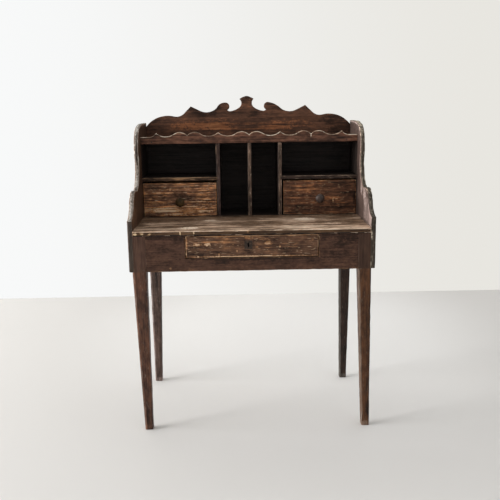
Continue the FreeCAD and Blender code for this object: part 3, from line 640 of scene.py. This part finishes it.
def pine_finish(name, stain, warm, thin, bare, worn=0.1, streaks=0.7, patches=0.2, contrast=0.6, nicks=0.0,
                ragged=1.0, edge=1.0, node=None, spots=(), flat_axes=FACE_AXES, specular=0.14,
                grain_scale=(1, 1, 1)):
    """Stained pine with its own colours, wear, and spots of wear, painted light and shade."""
    material, tree, shader = new_finish(name)
    grain = add(tree, "ShaderNodeAttribute", attribute_name="grain").outputs["Vector"]
    grain = scaled(tree, grain, grain_scale)
    wear = add(tree, "ShaderNodeAttribute", attribute_name="wear").outputs["Fac"]
    # The spots add wear, and on some boards painted light and shade, to the even share
    if spots:
        worn = wear_light_and_shade_field(tree, worn, node, spots, flat_axes)
    pine = add(tree, "ShaderNodeGroup", node_tree=WORN_PINE)
    fill(tree, pine, {
        "Grain": grain, "Edge": calculate(tree, "MULTIPLY", wear, edge), "Worn": worn, "Streaks": streaks,
        "Patches": patches, "Contrast": contrast, "Nicks": nicks, "Ragged": ragged,
        "Stain": colour(*stain), "Warm Stain": colour(*warm), "Thin Stain": colour(*thin),
        "Bare Wood": colour(*bare),
    })
    tree.links.new(pine.outputs["Color"], shader.inputs["Base Color"])
    tree.links.new(pine.outputs["Roughness"], shader.inputs["Roughness"])
    add_relief(tree, shader, pine.outputs["Height"], GRAIN_RELIEF, GRAIN_DEPTH)
    shader.inputs["Specular IOR Level"].default_value = specular
    return material


# Worn spots and dark ones (below 0), some of them painted light and shade: share across and up a face, half
# sizes in millimetres, strength
LEFT_DRAWER_SPOTS = [
    (0.21, 0.71, 10, 4, 0.45), (0.29, 0.635, 12, 3, 0.5), (0.365, 0.81, 5, 6, 0.4),
    (0.09, 0.55, 10, 6, 0.35), (0.85, 0.49, 20, 3, 0.45), (0.82, 0.36, 24, 3, 0.4),
    (0.63, 0.365, 20, 3, 0.35), (0.83, 0.63, 30, 30, 0.2), (0.5, 0.16, 150, 22, 0.33),
    (0.28, 0.16, 60, 5, 0.35), (0.84, 0.14, 32, 5, 0.4), (0.42, 0.05, 48, 4, 0.35),
    (0.09, 0.02, 34, 7, -0.6), (0.54, 0.58, 30, 24, -0.22), (0.6, 0.22, 70, 3, -0.4),
    (0.3, 0.1, 60, 3, -0.4), (0.8, 0.08, 50, 3, -0.4), (0.2, 0.3, 60, 3, -0.3), (0.16, 0.4, 70, 2, 0.4),
    (0.78, 0.43, 60, 2, 0.35), (0.66, 0.29, 80, 2, 0.35), (0.25, 0.235, 80, 2, 0.4),
    (0.72, 0.11, 60, 2, 0.35), (0.47, 0.64, 30, 22, -0.25), (0.5, 0.8, 170, 24, -0.15),
]
RIGHT_DRAWER_SPOTS = [
    (0.685, 0.41, 4, 8, 0.55), (0.726, 0.435, 9, 3, 0.5), (0.78, 0.33, 26, 2, 0.4),
    (0.755, 0.255, 6, 6, 0.35), (0.367, 0.775, 24, 18, 0.25), (0.215, 0.78, 16, 16, 0.18),
    (0.71, 0.7, 18, 12, 0.18), (0.19, 0.14, 36, 5, 0.4), (0.06, 0.1, 24, 2.5, 0.35),
    (0.27, 0.03, 34, 4, 0.25), (0.985, 0.9, 8, 16, -0.4), (0.975, 0.456, 5, 26, -0.5),
    (0.977, 0.13, 2.5, 8, 0.5), (0.3, 0.2, 90, 3, 0.25), (0.4, 0.09, 80, 3, 0.25),
    (0.5, 0.985, 145, 2.5, 0.4),
]
CENTRE_DRAWER_SPOTS = [
    (0.085, 0.6, 16, 5, 0.8), (0.16, 0.605, 15, 6, 0.8), (0.47, 0.91, 18, 5, 0.35),
    (0.62, 0.68, 14, 11, 0.48), (0.536, 0.456, 7, 5, 0.45), (0.71, 0.484, 4, 5, 0.5),
    (0.575, 0.86, 30, 10, 0.2), (0.3, 0.75, 18, 18, 0.12), (0.785, 0.57, 60, 22, 0.15),
    (0.61, 0.55, 26, 26, 0.16), (0.356, 0.587, 4, 3, 0.5), (0.385, 0.29, 3, 5, 0.55),
    (0.249, 0.124, 3, 6, 0.6), (0.09, 0.05, 3, 5, 0.6), (0.167, 0.314, 8, 4, 0.4),
    (0.5, 0.02, 230, 4, 0.75), (0.785, 0.95, 14, 3, 0.45), (0.3, 0.975, 170, 2.5, 0.45),
    (0.008, 0.5, 3, 44, 0.35), (0.959, 0.774, 4, 4, 0.4), (0.861, 0.106, 10, 7, 0.3),
    (0.475, 0.42, 40, 24, -0.3),
]
# The dark lines under the centre drawer, at its right end and under the plank are painted shadow; the pale
# spots are wear.
APRON_SPOTS = [
    (0.135, 0.085, 4.5, 7, 0.5), (0.785, 0.68, 7, 7, 0.55), (0.907, 0.75, 5, 4, 0.5),
    (0.735, 0.296, 18, 3, 0.3), (0.798, 0.148, 22, 4, 0.25), (0.21, 0.73, 24, 2, 0.3),
    (0.06, 0.15, 14, 4, 0.2), (0.97, 0.5, 110, 90, -0.14), (0.5, 0.34, 235, 7, -1.0),
    (0.797, 0.68, 2.5, 34, -0.4), (0.2, 0.2, 40, 60, 0.06), (0.1, 0.98, 130, 16, -0.3),
    (0.9, 0.96, 120, 22, -0.25), (0.35, 0.08, 330, 16, 0.1),
]
# The dark spots darken the rear by the drawers; the one at the rear right is painted shadow. The pale ones
# are scuffs.
WRITING_TOP_SPOTS = [
    (0.315, 0.84, 24, 16, 0.6), (0.233, 0.24, 36, 24, 0.6), (0.41, 0.11, 110, 18, 0.2),
    (0.74, 0.83, 46, 36, 0.25), (0.78, 0.82, 12, 14, 0.35), (0.7, 0.25, 90, 44, 0.2),
    (0.89, 0.52, 40, 30, 0.15), (0.1, 1.0, 150, 100, -0.3), (0.5, 0.1, 700, 70, 0.08),
    (0.5, 1.3, 700, 46, -0.45), (0.857, 0.45, 30, 26, 0.25), (0.747, 0.87, 50, 24, 0.3),
    (0.58, 0.54, 60, 30, -0.2), (0.93, 1.2, 60, 50, -0.5),
]
# The dark line along the plank's bottom edge is painted shadow; the pale spots are chips.
PLANK_EDGE_SPOTS = [
    (0.012, 0.5, 9, 6, 0.75), (0.04, 0.62, 9, 5, 0.7), (0.072, 0.45, 6, 6, 0.65),
    (0.2, 0.5, 3.5, 9, 0.8), (0.257, 0.6, 3.5, 9, 0.65), (0.483, 0.7, 4, 6, 0.55),
    (0.36, 0.95, 60, 3, 0.5), (0.5, 0.04, 900, 3, -0.8),
]
CREST_SPOTS = [
    (0.45, 0.27, 330, 30, 0.29), (0.72, 0.25, 150, 24, 0.05), (0.3, 0.28, 130, 20, 0.15),
    (0.07, 0.34, 50, 30, -0.1), (0.95, 0.35, 90, 70, -0.4), (0.51, 0.55, 40, 16, -0.2),
    (0.49, 0.68, 26, 24, 0.15), (0.33, 0.72, 34, 30, -0.3), (0.27, 0.58, 40, 24, -0.2),
    (0.49, 0.93, 30, 16, -0.35), (0.633, 0.74, 34, 20, -0.3), (0.35, 0.27, 60, 14, 0.15),
]
RAIL_SPOTS = [(0.785, 0.6, 2, 9, 0.9)]
# Pale spots on the left arris and the top end: worn chips, and painted light from the window and from
# above.
RIGHT_BOARD_SPOTS = [
    (0.1, 0.25, 5, 14, 0.7), (0.2, 0.215, 4, 8, 0.6), (0.1, 0.035, 4, 12, 0.6), (0.6, 0.3, 8, 20, -0.2),
    (0.4, 0.42, 16, 30, 0.35), (0.4, 0.5, 14, 16, 0.3), (0.4, 0.985, 16, 16, 0.7),
    (0.3, 0.93, 14, 18, 0.55),
]
# Pale spots along the front profile: wear and a painted highlight of the window's glare.
LEFT_BOARD_SPOTS = [
    (0.25, 0.97, 12, 24, 0.8), (0.2, 0.89, 9, 28, 0.6), (0.3, 0.77, 14, 28, -0.15),
    (0.25, 0.66, 11, 32, 0.55), (0.3, 0.58, 12, 24, 0.75), (0.25, 0.5, 11, 24, 0.65),
    (0.25, 0.43, 10, 24, 0.65), (0.3, 0.385, 11, 14, 0.7),
]
# Painted light and shade on the inner face: paler towards the front and along the top, darker by the case
# and the writing top.
RIGHT_INNER_SPOTS = [
    (0.1, 0.37, 130, 60, 0.4), (0.25, 0.46, 60, 30, 0.25), (0.32, 0.5, 60, 26, 0.35),
    (0.6, 0.95, 40, 26, 0.3), (0.6, 0.34, 70, 60, -0.5), (0.62, 0.55, 50, 60, -0.35),
    (0.3, 0.29, 60, 10, -0.3), (0.42, 0.52, 22, 24, 0.25), (0.6, 0.995, 200, 8, 0.5),
]
# Painted light and shade on the inner face: paler towards the front and along the top, darker by the case.
LEFT_INNER_SPOTS = [(0.15, 0.4, 100, 90, 0.3), (0.62, 0.36, 60, 60, -0.2), (0.6, 0.995, 200, 8, 0.6)]
BACK_SPOTS = [
    (0.15, 0.6, 130, 44, 0.16), (0.36, 0.35, 150, 36, -0.2), (0.62, 0.75, 180, 30, 0.14),
    (0.83, 0.3, 110, 60, -0.22), (0.5, 0.1, 420, 16, -0.16), (0.03, 0.5, 26, 300, -0.2),
    (0.97, 0.5, 26, 300, -0.2), (0.72, 0.5, 34, 10, 0.4),
]
LEG_SPOTS = [(0.5, 0.008, 3000, 16, 0.45)]
DARK_FOOT_SPOTS = LEG_SPOTS + [(0.5, 0.14, 3000, 190, -0.14)]

# The inside of the case: a dark stain, darker than the outside as painted shade in its recesses.
case_dark_and_shade = pine_finish(
    "case_dark_and_shade", (34, 29, 27), (47, 39, 35), (62, 51, 44), (120, 98, 80), streaks=0.4, patches=0.4,
    contrast=0.35
)


def back_finish(node, stain, warm, grain_scale):
    """The unstained backs, each board aged to its own tone."""
    return pine_finish(
        f"{node}_aged", stain, warm, (132, 107, 82), (158, 134, 106), worn=0.22, streaks=1.0,
        patches=0.5, contrast=0.7, node=node, spots=BACK_SPOTS, grain_scale=grain_scale
    )


back_finishes = {node: back_finish(node, stain, warm, grain_scale) for node, stain, warm, grain_scale in (
    ("back_board_lower", (74, 60, 48), (98, 79, 62), (0.8, 1.2, 1.5)),
    ("back_board_upper", (90, 73, 57), (112, 91, 71), (1.2, 1, 0.9)),
    ("crest_board", (80, 63, 48), (102, 81, 62), (1, 1, 1.2)),
)}
# The keyhole's walls: grime, and painted shade where little light gets in.
keyhole_grime_and_shade = pine_finish(
    "keyhole_grime_and_shade", (12, 10, 9), (18, 15, 13), (24, 20, 18), (36, 30, 26), worn=0.05, contrast=0.4
)
shelf_dust = pine_finish(
    "shelf_dust", (54, 44, 38), (76, 62, 53), (100, 83, 70), (140, 118, 98), worn=0.15, patches=0.5
)
left_divider_front = pine_finish(
    "left_divider_front", (46, 33, 29), (84, 66, 59), (118, 98, 88), (170, 152, 138), worn=0.12,
    streaks=1.2, patches=0.6, contrast=0.9, nicks=0.3
)
divider_front = pine_finish(
    "divider_front", (56, 44, 37), (114, 93, 79), (160, 134, 114), (210, 190, 166), worn=0.17,
    streaks=1.3, patches=0.5, contrast=0.9, nicks=0.5, edge=1.2
)
left_shelf_front = pine_finish(
    "left_shelf_front", (56, 42, 33), (110, 84, 64), (168, 130, 94), (214, 184, 146), worn=0.2,
    streaks=1.6, patches=0.6, contrast=1.0, nicks=0.6, edge=1.3
)
right_shelf_front = pine_finish(
    "right_shelf_front", (36, 27, 23), (68, 52, 44), (128, 102, 84), (206, 184, 158), worn=0.08,
    streaks=1.2, patches=0.5, contrast=1.0, nicks=0.4, edge=1.5
)
board_outside = pine_finish(
    "board_outside", (50, 37, 31), (74, 55, 45), (104, 80, 66), (190, 170, 150), worn=0.12, streaks=0.8,
    ragged=0.4, edge=1.15, specular=0.25
)
# The left board's inner face, painted lighter than its outside for the light that falls on it.
left_board_inside = pine_finish(
    "left_board_inside", (70, 50, 38), (92, 67, 52), (140, 106, 82), (222, 214, 205), streaks=0.8,
    ragged=0.4, edge=1.15, node="side_board_left", spots=LEFT_INNER_SPOTS, flat_axes=SIDE_AXES
)
# The right board's inner face: a pale grey-pink sheen towards the front and shade by the case, painted
# light and shade.
right_board_inside = pine_finish(
    "right_board_inside", (68, 54, 48), (98, 80, 72), (160, 140, 132), (196, 180, 172), worn=0.12,
    streaks=0.5, patches=0.3, ragged=0.4, edge=1.1, specular=0.25, node="side_board_right",
    spots=RIGHT_INNER_SPOTS, flat_axes=SIDE_AXES
)
# The left board's front profile: pale grey wear and a painted highlight of the window's glare.
left_board_front = pine_finish(
    "left_board_front", (56, 47, 41), (80, 68, 59), (138, 128, 119), (190, 184, 176), streaks=0.3,
    contrast=0.4, ragged=0.2, edge=1.1, node="side_board_left", spots=LEFT_BOARD_SPOTS
)
right_board_front = pine_finish(
    "right_board_front", (44, 38, 32), (68, 60, 51), (116, 107, 94), (200, 186, 164), nicks=0.4,
    node="side_board_right", spots=RIGHT_BOARD_SPOTS
)


def leg_finish(place, stain, warm, thin, bare, spots=LEG_SPOTS):
    """A leg's own tone, worn at the foot; the rear right leg's tone is darker as painted shade."""
    return pine_finish(
        f"{place}_leg_stain_and_shade", stain, warm, thin, bare, streaks=0.8, contrast=0.8, nicks=0.3,
        ragged=0.35, edge=1.15, specular=0.2, node=f"leg_{place}", spots=spots
    )


def post_finish(side, stain, warm):
    """The top of a front leg, stained with the apron."""
    return pine_finish(
        f"{side}_post_stain", stain, warm, (112, 86, 70), (170, 148, 130), streaks=0.3, contrast=0.3,
        ragged=0.5, edge=0.55
    )


leg_finishes = {
    "front_left": leg_finish("front_left", (52, 35, 27), (96, 63, 47), (116, 84, 68), (150, 136, 128),
                             DARK_FOOT_SPOTS),
    "front_right": leg_finish("front_right", (50, 32, 19), (92, 58, 35), (112, 92, 78), (130, 116, 106)),
    "rear_left": leg_finish("rear_left", (58, 45, 39), (96, 76, 67), (126, 108, 100), (165, 152, 147)),
    # The rear right leg is darker: painted shade under the desk.
    "rear_right": leg_finish("rear_right", (30, 21, 16), (56, 39, 30), (80, 74, 68), (118, 114, 108)),
}
post_finishes = {"front_left": post_finish("left", (68, 48, 39), (86, 62, 50)),
                 "front_right": post_finish("right", (54, 38, 30), (70, 50, 39))}
apron_stain = pine_finish(
    "apron_stain", (54, 36, 28), (90, 63, 49), (118, 86, 62), (192, 166, 136), worn=0.12, streaks=0.6,
    patches=0.4, contrast=0.55, node="front_apron", spots=APRON_SPOTS, grain_scale=(2.4, 1.6, 1.6)
)
rear_apron_stain = pine_finish(
    "rear_apron_stain", (57, 41, 34), (80, 56, 44), (112, 82, 60), (160, 130, 100)
)
crest_stain = pine_finish(
    "crest_stain", (58, 42, 34), (108, 72, 53), (136, 86, 56), (162, 112, 74), worn=0.15, streaks=0.8,
    patches=0.4, contrast=0.7, edge=0.4, node="crest_board", spots=CREST_SPOTS
)
rail_stain = pine_finish(
    "rail_stain", (54, 38, 31), (120, 82, 64), (160, 136, 114), (220, 207, 188), worn=0.02, streaks=0.5,
    contrast=1.1, edge=1.2, node="gallery_rail", spots=RAIL_SPOTS
)
top_scrubbed = pine_finish(
    "top_scrubbed", (88, 67, 50), (136, 108, 84), (200, 170, 145), (246, 228, 204), worn=0.36,
    streaks=1.3, patches=0.75, contrast=0.85, nicks=0.6, edge=1.3, node="writing_top_front_plank",
    spots=WRITING_TOP_SPOTS, flat_axes=TOP_AXES, grain_scale=(0.8, 1.0, 1.0)
)
plank_edge = pine_finish(
    "plank_edge", (58, 42, 30), (92, 68, 48), (134, 102, 71), (214, 190, 154), worn=0.18, streaks=0.8,
    contrast=0.8, node="writing_top_front_plank", spots=PLANK_EDGE_SPOTS
)
left_drawer_worn = pine_finish(
    "left_drawer_worn", (84, 60, 47), (152, 108, 80), (206, 142, 90), (240, 214, 178), worn=0.25,
    streaks=2.0, patches=0.3, contrast=1.3, nicks=0.9, node="small_drawer_left_front",
    spots=LEFT_DRAWER_SPOTS, grain_scale=(1.2, 1.8, 1.8)
)
right_drawer_worn = pine_finish(
    "right_drawer_worn", (50, 33, 25), (114, 76, 54), (154, 102, 66), (220, 192, 154), worn=0.13,
    streaks=1.1, patches=0.8, contrast=1.05, nicks=0.5, edge=1.1, node="small_drawer_right_front",
    spots=RIGHT_DRAWER_SPOTS, grain_scale=(1.1, 1.4, 1.4)
)
centre_drawer_worn = pine_finish(
    "centre_drawer_worn", (54, 38, 30), (108, 77, 57), (148, 104, 68), (208, 178, 146), worn=0.14,
    streaks=1.3, patches=0.4, contrast=1.1, nicks=0.6, edge=1.4, node="centre_drawer_front",
    spots=CENTRE_DRAWER_SPOTS, grain_scale=(1.1, 1.3, 1.3)
)
raw_pine = pine_finish(
    "raw_pine", (124, 95, 66), (146, 113, 80), (164, 131, 96), (190, 161, 124), worn=0.3, contrast=0.45
)


RUST_SCALE = (160, 160, 160)
RUST_RANGE = (0.4, 0.9)
RUST_SHINE = 0.1
PIT_SCALE = (900, 900, 900)
PIT_DEPTH = 0.3 * MM
IRON_ROUGHNESS = (0.45, 0.75)
HANDLING_SCALE = (70, 70, 70)
HANDLING_RANGE = (0.15, 0.9)
TURNING_SCALE = (60, 700, 60)
TURNING_DEPTH = 0.6 * MM
KNOB_ROUGHNESS = (0.32, 0.6)
SLIGHT_RELIEF = 0.3


def iron_finish(name, clean, rusty, shine, specular):
    """Old dark iron with a bloom of rust."""
    material, tree, shader = new_finish(name)
    position = place_on_piece(tree)
    bloom = noise(tree, position, RUST_SCALE, 4.0, 0.6)
    pits = noise(tree, position, PIT_SCALE, 2.0)
    rust = ramp(tree, bloom, *RUST_RANGE)
    tree.links.new(mixed(tree, rust, colour(*clean), colour(*rusty)), shader.inputs["Base Color"])
    tree.links.new(ramp(tree, rust, 0.0, 1.0, shine, RUST_SHINE), shader.inputs["Metallic"])
    tree.links.new(ramp(tree, bloom, 0.0, 1.0, *IRON_ROUGHNESS), shader.inputs["Roughness"])
    shader.inputs["Specular IOR Level"].default_value = specular
    add_relief(tree, shader, pits, SLIGHT_RELIEF, PIT_DEPTH)
    return material


def knob_finish(name, shadow, light, specular):
    """Dark handled wood with a rubbed face."""
    material, tree, shader = new_finish(name)
    position = place_on_piece(tree)
    cloud = noise(tree, position, HANDLING_SCALE, 4.0, 0.6)
    turning = noise(tree, position, TURNING_SCALE, 2.0)
    shade = weighted(tree, (turning, 0.3), (cloud, 0.7))
    rubbed = mixed(tree, ramp(tree, shade, *HANDLING_RANGE), colour(*shadow), colour(*light))
    tree.links.new(rubbed, shader.inputs["Base Color"])
    tree.links.new(ramp(tree, cloud, 0.0, 1.0, *KNOB_ROUGHNESS), shader.inputs["Roughness"])
    shader.inputs["Specular IOR Level"].default_value = specular
    add_relief(tree, shader, shade, SLIGHT_RELIEF, TURNING_DEPTH)
    return material


old_iron = iron_finish("old_iron", (48, 45, 44), (80, 52, 38), 0.7, 0.5)
plate_iron = iron_finish("plate_iron", (52, 43, 37), (74, 58, 48), 0.1, 0.15)
knob_finishes = {"left": knob_finish("knob_black", (32, 23, 11), (86, 65, 36), 0.15),
                 "right": knob_finish("knob_grey", (38, 29, 25), (86, 69, 61), 0.5)}


# The desk's boards

def above(node, share):
    """A test for points above a share of a board's height."""
    low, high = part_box(node)
    level = low.z + (high.z - low.z) * share
    return lambda point: point.z > level


def left_half(node):
    """A test for points left of a board's middle."""
    low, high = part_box(node)
    middle = (low.x + high.x) / 2
    return lambda point: point.x < middle


CASE_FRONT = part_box("gallery_rail")[0].y
CASE_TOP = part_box("top_shelf")[1].z
APRON_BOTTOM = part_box("front_apron")[0].z


def beside_apron(centre, normal):
    return centre.z > APRON_BOTTOM


def facing_in(centre, normal):
    return abs(normal.x) > FACING and centre.x * normal.x < 0


def on_profile(centre, normal):
    return abs(normal.x) < FACING and (normal.y < -LEANING or normal.z > LEANING)


def in_case(centre, normal):
    return facing_in(centre, normal) and centre.y > CASE_FRONT and centre.z < CASE_TOP


def facing_up(centre, normal):
    return normal.z > FACING


def under_case(centre, normal):
    return facing_up(centre, normal) and centre.y > CASE_FRONT


def in_keyhole(centre, normal):
    low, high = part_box("keyhole_plate")
    return low.x < centre.x < high.x and low.z < centre.z < high.z and normal.y > -FACING


# The legs' pale arrises are kept to their left half: wear and a painted highlight from the window on the
# left.
for place, finish in leg_finishes.items():
    upper = [(post_finishes[place], beside_apron)] if place in post_finishes else []
    worn_board(f"leg_{place}", finish, cell=28, arris=2.2, chip=1.4, left_arris=5.0,
               wear_and_highlight_where=left_half(f"leg_{place}"), cuts=[(2, APRON_BOTTOM)], regions=upper)
# The side boards' pale upper arrises and front profiles are wear and a painted highlight of the window's
# glare; their inner faces carry painted light and shade, and inside the case they take the case's dark
# finish as painted shade.
for side, board_inside, board_front, shelf_front, wear_and_glare_from in (
        ("left", left_board_inside, left_board_front, left_shelf_front, 0.36),
        ("right", right_board_inside, right_board_front, right_shelf_front, 0.5)):
    worn_board(f"side_board_{side}", board_outside, cell=22, arris=2.4, chip=1.2,
               along="z", left_arris=5.0, wear_and_highlight_where=above(f"side_board_{side}", wear_and_glare_from),
               cuts=[(1, CASE_FRONT), (2, CASE_TOP)],
               regions=[(board_front, on_profile), (board_inside, facing_in), (case_dark_and_shade, in_case)])
    worn_board(f"shelf_{side}", case_dark_and_shade, cell=18, arris=1.6, chip=1.4,
               front_finish=shelf_front, wear_and_highlight_where=above(f"shelf_{side}", 0.5))
    worn_board(f"drawer_runner_{side}", raw_pine, cell=60, arris=0.8, chip=0.5)
    worn_board(f"drawer_guide_{side}", raw_pine, cell=60, arris=0.8, chip=0.5)
# The dividers' pale arrises are kept to their left half: wear and a painted highlight from the window on
# the left.
for place, finish in (("left", left_divider_front), ("middle", divider_front), ("right", divider_front)):
    worn_board(f"divider_{place}", case_dark_and_shade, cell=18, chip=1.4, left_arris=3.0,
               front_finish=finish, wear_and_highlight_where=left_half(f"divider_{place}"))
worn_board("front_apron", apron_stain, cell=20, arris=1.2, chip=1.2)
worn_board("rear_apron", rear_apron_stain, cell=40, arris=1.2)
worn_board("top_shelf", case_dark_and_shade, cell=25, arris=1.0, chip=0.8,
           regions=[(shelf_dust, facing_up)])
worn_board("gallery_rail", rail_stain, cell=12, arris=1.8, chip=0.8, ring=3.0,
           wear_and_highlight_where=above("gallery_rail", 0.3))
worn_board("crest_board", crest_stain, cell=20, arris=1.5,
           rear_finish=back_finishes["crest_board"])
for node in ("back_board_lower", "back_board_upper"):
    worn_board(node, case_dark_and_shade, cell=40, arris=1.8, chip=0.8,
               rear_finish=back_finishes[node])
# The plank's lower front lip takes the case's dark finish, a painted shadow line under its edge.
worn_board("writing_top_front_plank", top_scrubbed, cell=12, arris=2.4, chip=2.6,
           segments=3, wear_and_highlight_where=above("writing_top_front_plank", 0.55), front_finish=plank_edge,
           regions=[(case_dark_and_shade, lower_lip)])
# Under the case the rear plank takes the case's dark finish, as painted shade.
worn_board("writing_top_rear_plank", top_scrubbed, cell=20, arris=0.8, chip=0.6,
           cuts=[(1, CASE_FRONT)], regions=[(case_dark_and_shade, under_case)])
worn_board("drawer_stops", raw_pine, cell=20, arris=0.8, chip=0.5)

for drawer, finish in (("centre_drawer", centre_drawer_worn), ("small_drawer_left", left_drawer_worn),
                       ("small_drawer_right", right_drawer_worn)):
    dark_places = [(keyhole_grime_and_shade, in_keyhole)] if drawer == "centre_drawer" else []
    worn_board(f"{drawer}_front", finish, cell=12, chip=1.2, ring=2.6,
               rear_finish=raw_pine, regions=dark_places)
    for part in ("side_left", "side_right", "back", "bottom"):
        worn_board(f"{drawer}_{part}", raw_pine, cell=40, arris=0.8, chip=0.5)


# Iron and knobs keep their cut and turned shapes

def finish_node(node, finish):
    mesh = frame["nodes"][node].data
    mesh.materials.clear()
    mesh.materials.append(finish)


for node in FASTENER_NODES + ["lock_case", "lock_bolt"]:
    finish_node(node, old_iron)
finish_node("keyhole_plate", plate_iron)
for side in ("left", "right"):
    finish_node(f"small_drawer_{side}_knob", knob_finishes[side])


# Floor, backdrop, light and camera

CAMERA_PLACE = Vector((-42.2, -2663.3, 1182.8)) * MM
CAMERA_YAW = math.radians(0.82)
CAMERA_PITCH = math.radians(-11.89)
CAMERA_ROLL = math.radians(-0.81)
FRAME_PIXELS = 500
FOCAL_PIXELS = 700
SENSOR_WIDTH = 36


def make_camera():
    """A camera at standing height in front of the desk."""
    data = bpy.data.cameras.new("camera")
    data.sensor_width = SENSOR_WIDTH
    data.lens = SENSOR_WIDTH * FOCAL_PIXELS / FRAME_PIXELS
    camera = bpy.data.objects.new("camera", data)
    bpy.context.scene.collection.objects.link(camera)
    forward = Vector((math.sin(CAMERA_YAW) * math.cos(CAMERA_PITCH),
                      math.cos(CAMERA_YAW) * math.cos(CAMERA_PITCH), math.sin(CAMERA_PITCH)))
    level = Vector((math.cos(CAMERA_YAW), -math.sin(CAMERA_YAW), 0))
    upright = level.cross(forward)
    right = level * math.cos(CAMERA_ROLL) + upright * math.sin(CAMERA_ROLL)
    up = upright * math.cos(CAMERA_ROLL) - level * math.sin(CAMERA_ROLL)
    turn = Matrix((right, up, -forward)).transposed()
    camera.matrix_world = Matrix.Translation(CAMERA_PLACE) @ turn.to_4x4()
    bpy.context.scene.camera = camera


STAGE_SIZE = 16.0
STAGE_ROUGHNESS = 0.9
FLOOR_SPECULAR = 0.1
WALL_DISTANCE = 1.6
# Painted light on the floor: brightest near a point behind the desk, fading further out.
FLOOR_NEAR, FLOOR_FAR = colour(236, 235, 233), colour(216, 214, 211)
FLOOR_BRIGHTEST = (0.25, 0.9, 0)
FLOOR_STRETCH = (0.77, 0.62, 0)
FLOOR_FADE = (0.3, 1.0)
WALL_SHADE = colour(240, 239, 236)
# Painted light on the wall: brighter on the window's side.
WALL_LEFT, WALL_RIGHT = colour(248, 249, 249), colour(232, 230, 224)
WALL_FADE = 1.6


def floor_finish():
    """A plain pale floor with painted light: a little brighter behind the desk, darker further out."""
    material, tree, shader = new_finish("pale_floor")
    position = place_on_piece(tree)
    away = scaled(tree, combine(tree, "SUBTRACT", position, FLOOR_BRIGHTEST), FLOOR_STRETCH)
    shade = mixed(tree, ramp(tree, length(tree, away), *FLOOR_FADE), FLOOR_NEAR, FLOOR_FAR)
    tree.links.new(shade, shader.inputs["Base Color"])
    shader.inputs["Roughness"].default_value = STAGE_ROUGHNESS
    shader.inputs["Specular IOR Level"].default_value = FLOOR_SPECULAR
    return material


def wall_finish():
    """A plain white wall with painted light, a little brighter to the left; its back lets the camera look
    through.
    """
    material, tree, shader = new_finish("white_wall")
    shader.inputs["Base Color"].default_value = WALL_SHADE
    shader.inputs["Roughness"].default_value = STAGE_ROUGHNESS
    path = tree.nodes.new("ShaderNodeLightPath")
    position = place_on_piece(tree)
    across = add(tree, "ShaderNodeSeparateXYZ", {0: position}).outputs["X"]
    shade = mixed(tree, ramp(tree, across, -WALL_FADE, WALL_FADE), WALL_LEFT, WALL_RIGHT)
    glow = add(tree, "ShaderNodeEmission", {"Color": shade, "Strength": 1.0}).outputs[0]
    seen = calculate(tree, "MAXIMUM", path.outputs["Is Camera Ray"], path.outputs["Is Glossy Ray"])
    seen = calculate(tree, "MAXIMUM", seen, path.outputs["Is Transmission Ray"])
    front = add(tree, "ShaderNodeMixShader", {0: seen, 1: shader.outputs["BSDF"], 2: glow}).outputs[0]
    clear = tree.nodes.new("ShaderNodeBsdfTransparent").outputs[0]
    back = tree.nodes.new("ShaderNodeNewGeometry").outputs["Backfacing"]
    choice = add(tree, "ShaderNodeMixShader", {0: back, 1: front, 2: clear}).outputs[0]
    output = [node for node in tree.nodes if node.type == "OUTPUT_MATERIAL"][0]
    tree.links.new(choice, output.inputs["Surface"])
    return material


def make_stage():
    """A pale floor and a white wall behind the desk."""
    bpy.ops.object.select_all(action="DESELECT")
    bpy.ops.mesh.primitive_plane_add(size=STAGE_SIZE)
    floor = bpy.context.object
    floor.name = "floor"
    floor.data.materials.append(floor_finish())
    bpy.ops.object.select_all(action="DESELECT")
    bpy.ops.mesh.primitive_plane_add(size=STAGE_SIZE, location=(0, WALL_DISTANCE, STAGE_SIZE / 2),
                                     rotation=(math.radians(90), 0, 0))
    wall = bpy.context.object
    wall.name = "wall"
    bpy.ops.object.transform_apply(location=True, rotation=True, scale=True)
    wall.data.materials.append(wall_finish())


WINDOW_PLACE = Vector((-9.0, -1.6, 2.2))
WINDOW_TARGET = Vector((0, 0, 0.8))
WINDOW_SIZE = (5.2, 4.2)
WINDOW_POWER = 1150
FILL_STRENGTH = 0.66


def make_light():
    """A large window on the left and a soft fill all round."""
    data = bpy.data.lights.new("window", "AREA")
    data.shape = "RECTANGLE"
    data.size, data.size_y = WINDOW_SIZE
    data.energy = WINDOW_POWER
    light = bpy.data.objects.new("window", data)
    bpy.context.scene.collection.objects.link(light)
    light.location = WINDOW_PLACE
    light.rotation_mode = "QUATERNION"
    light.rotation_quaternion = (WINDOW_TARGET - WINDOW_PLACE).to_track_quat("-Z", "Y")
    world = bpy.data.worlds.new("world")
    bpy.context.scene.world = world
    world.use_nodes = True
    tree = world.node_tree
    tree.nodes.clear()
    path = tree.nodes.new("ShaderNodeLightPath")
    soft = add(tree, "ShaderNodeBackground", {"Color": (1, 1, 1, 1), "Strength": FILL_STRENGTH}).outputs[0]
    white = add(tree, "ShaderNodeBackground", {"Color": WALL_SHADE, "Strength": 1.0}).outputs[0]
    seen = calculate(tree, "MAXIMUM", path.outputs["Is Camera Ray"], path.outputs["Is Transmission Ray"])
    choice = add(tree, "ShaderNodeMixShader", {0: seen, 1: soft, 2: white}).outputs[0]
    output = tree.nodes.new("ShaderNodeOutputWorld")
    tree.links.new(choice, output.inputs["Surface"])


make_camera()
make_stage()
make_light()
bpy.context.scene.view_settings.view_transform = "Standard"
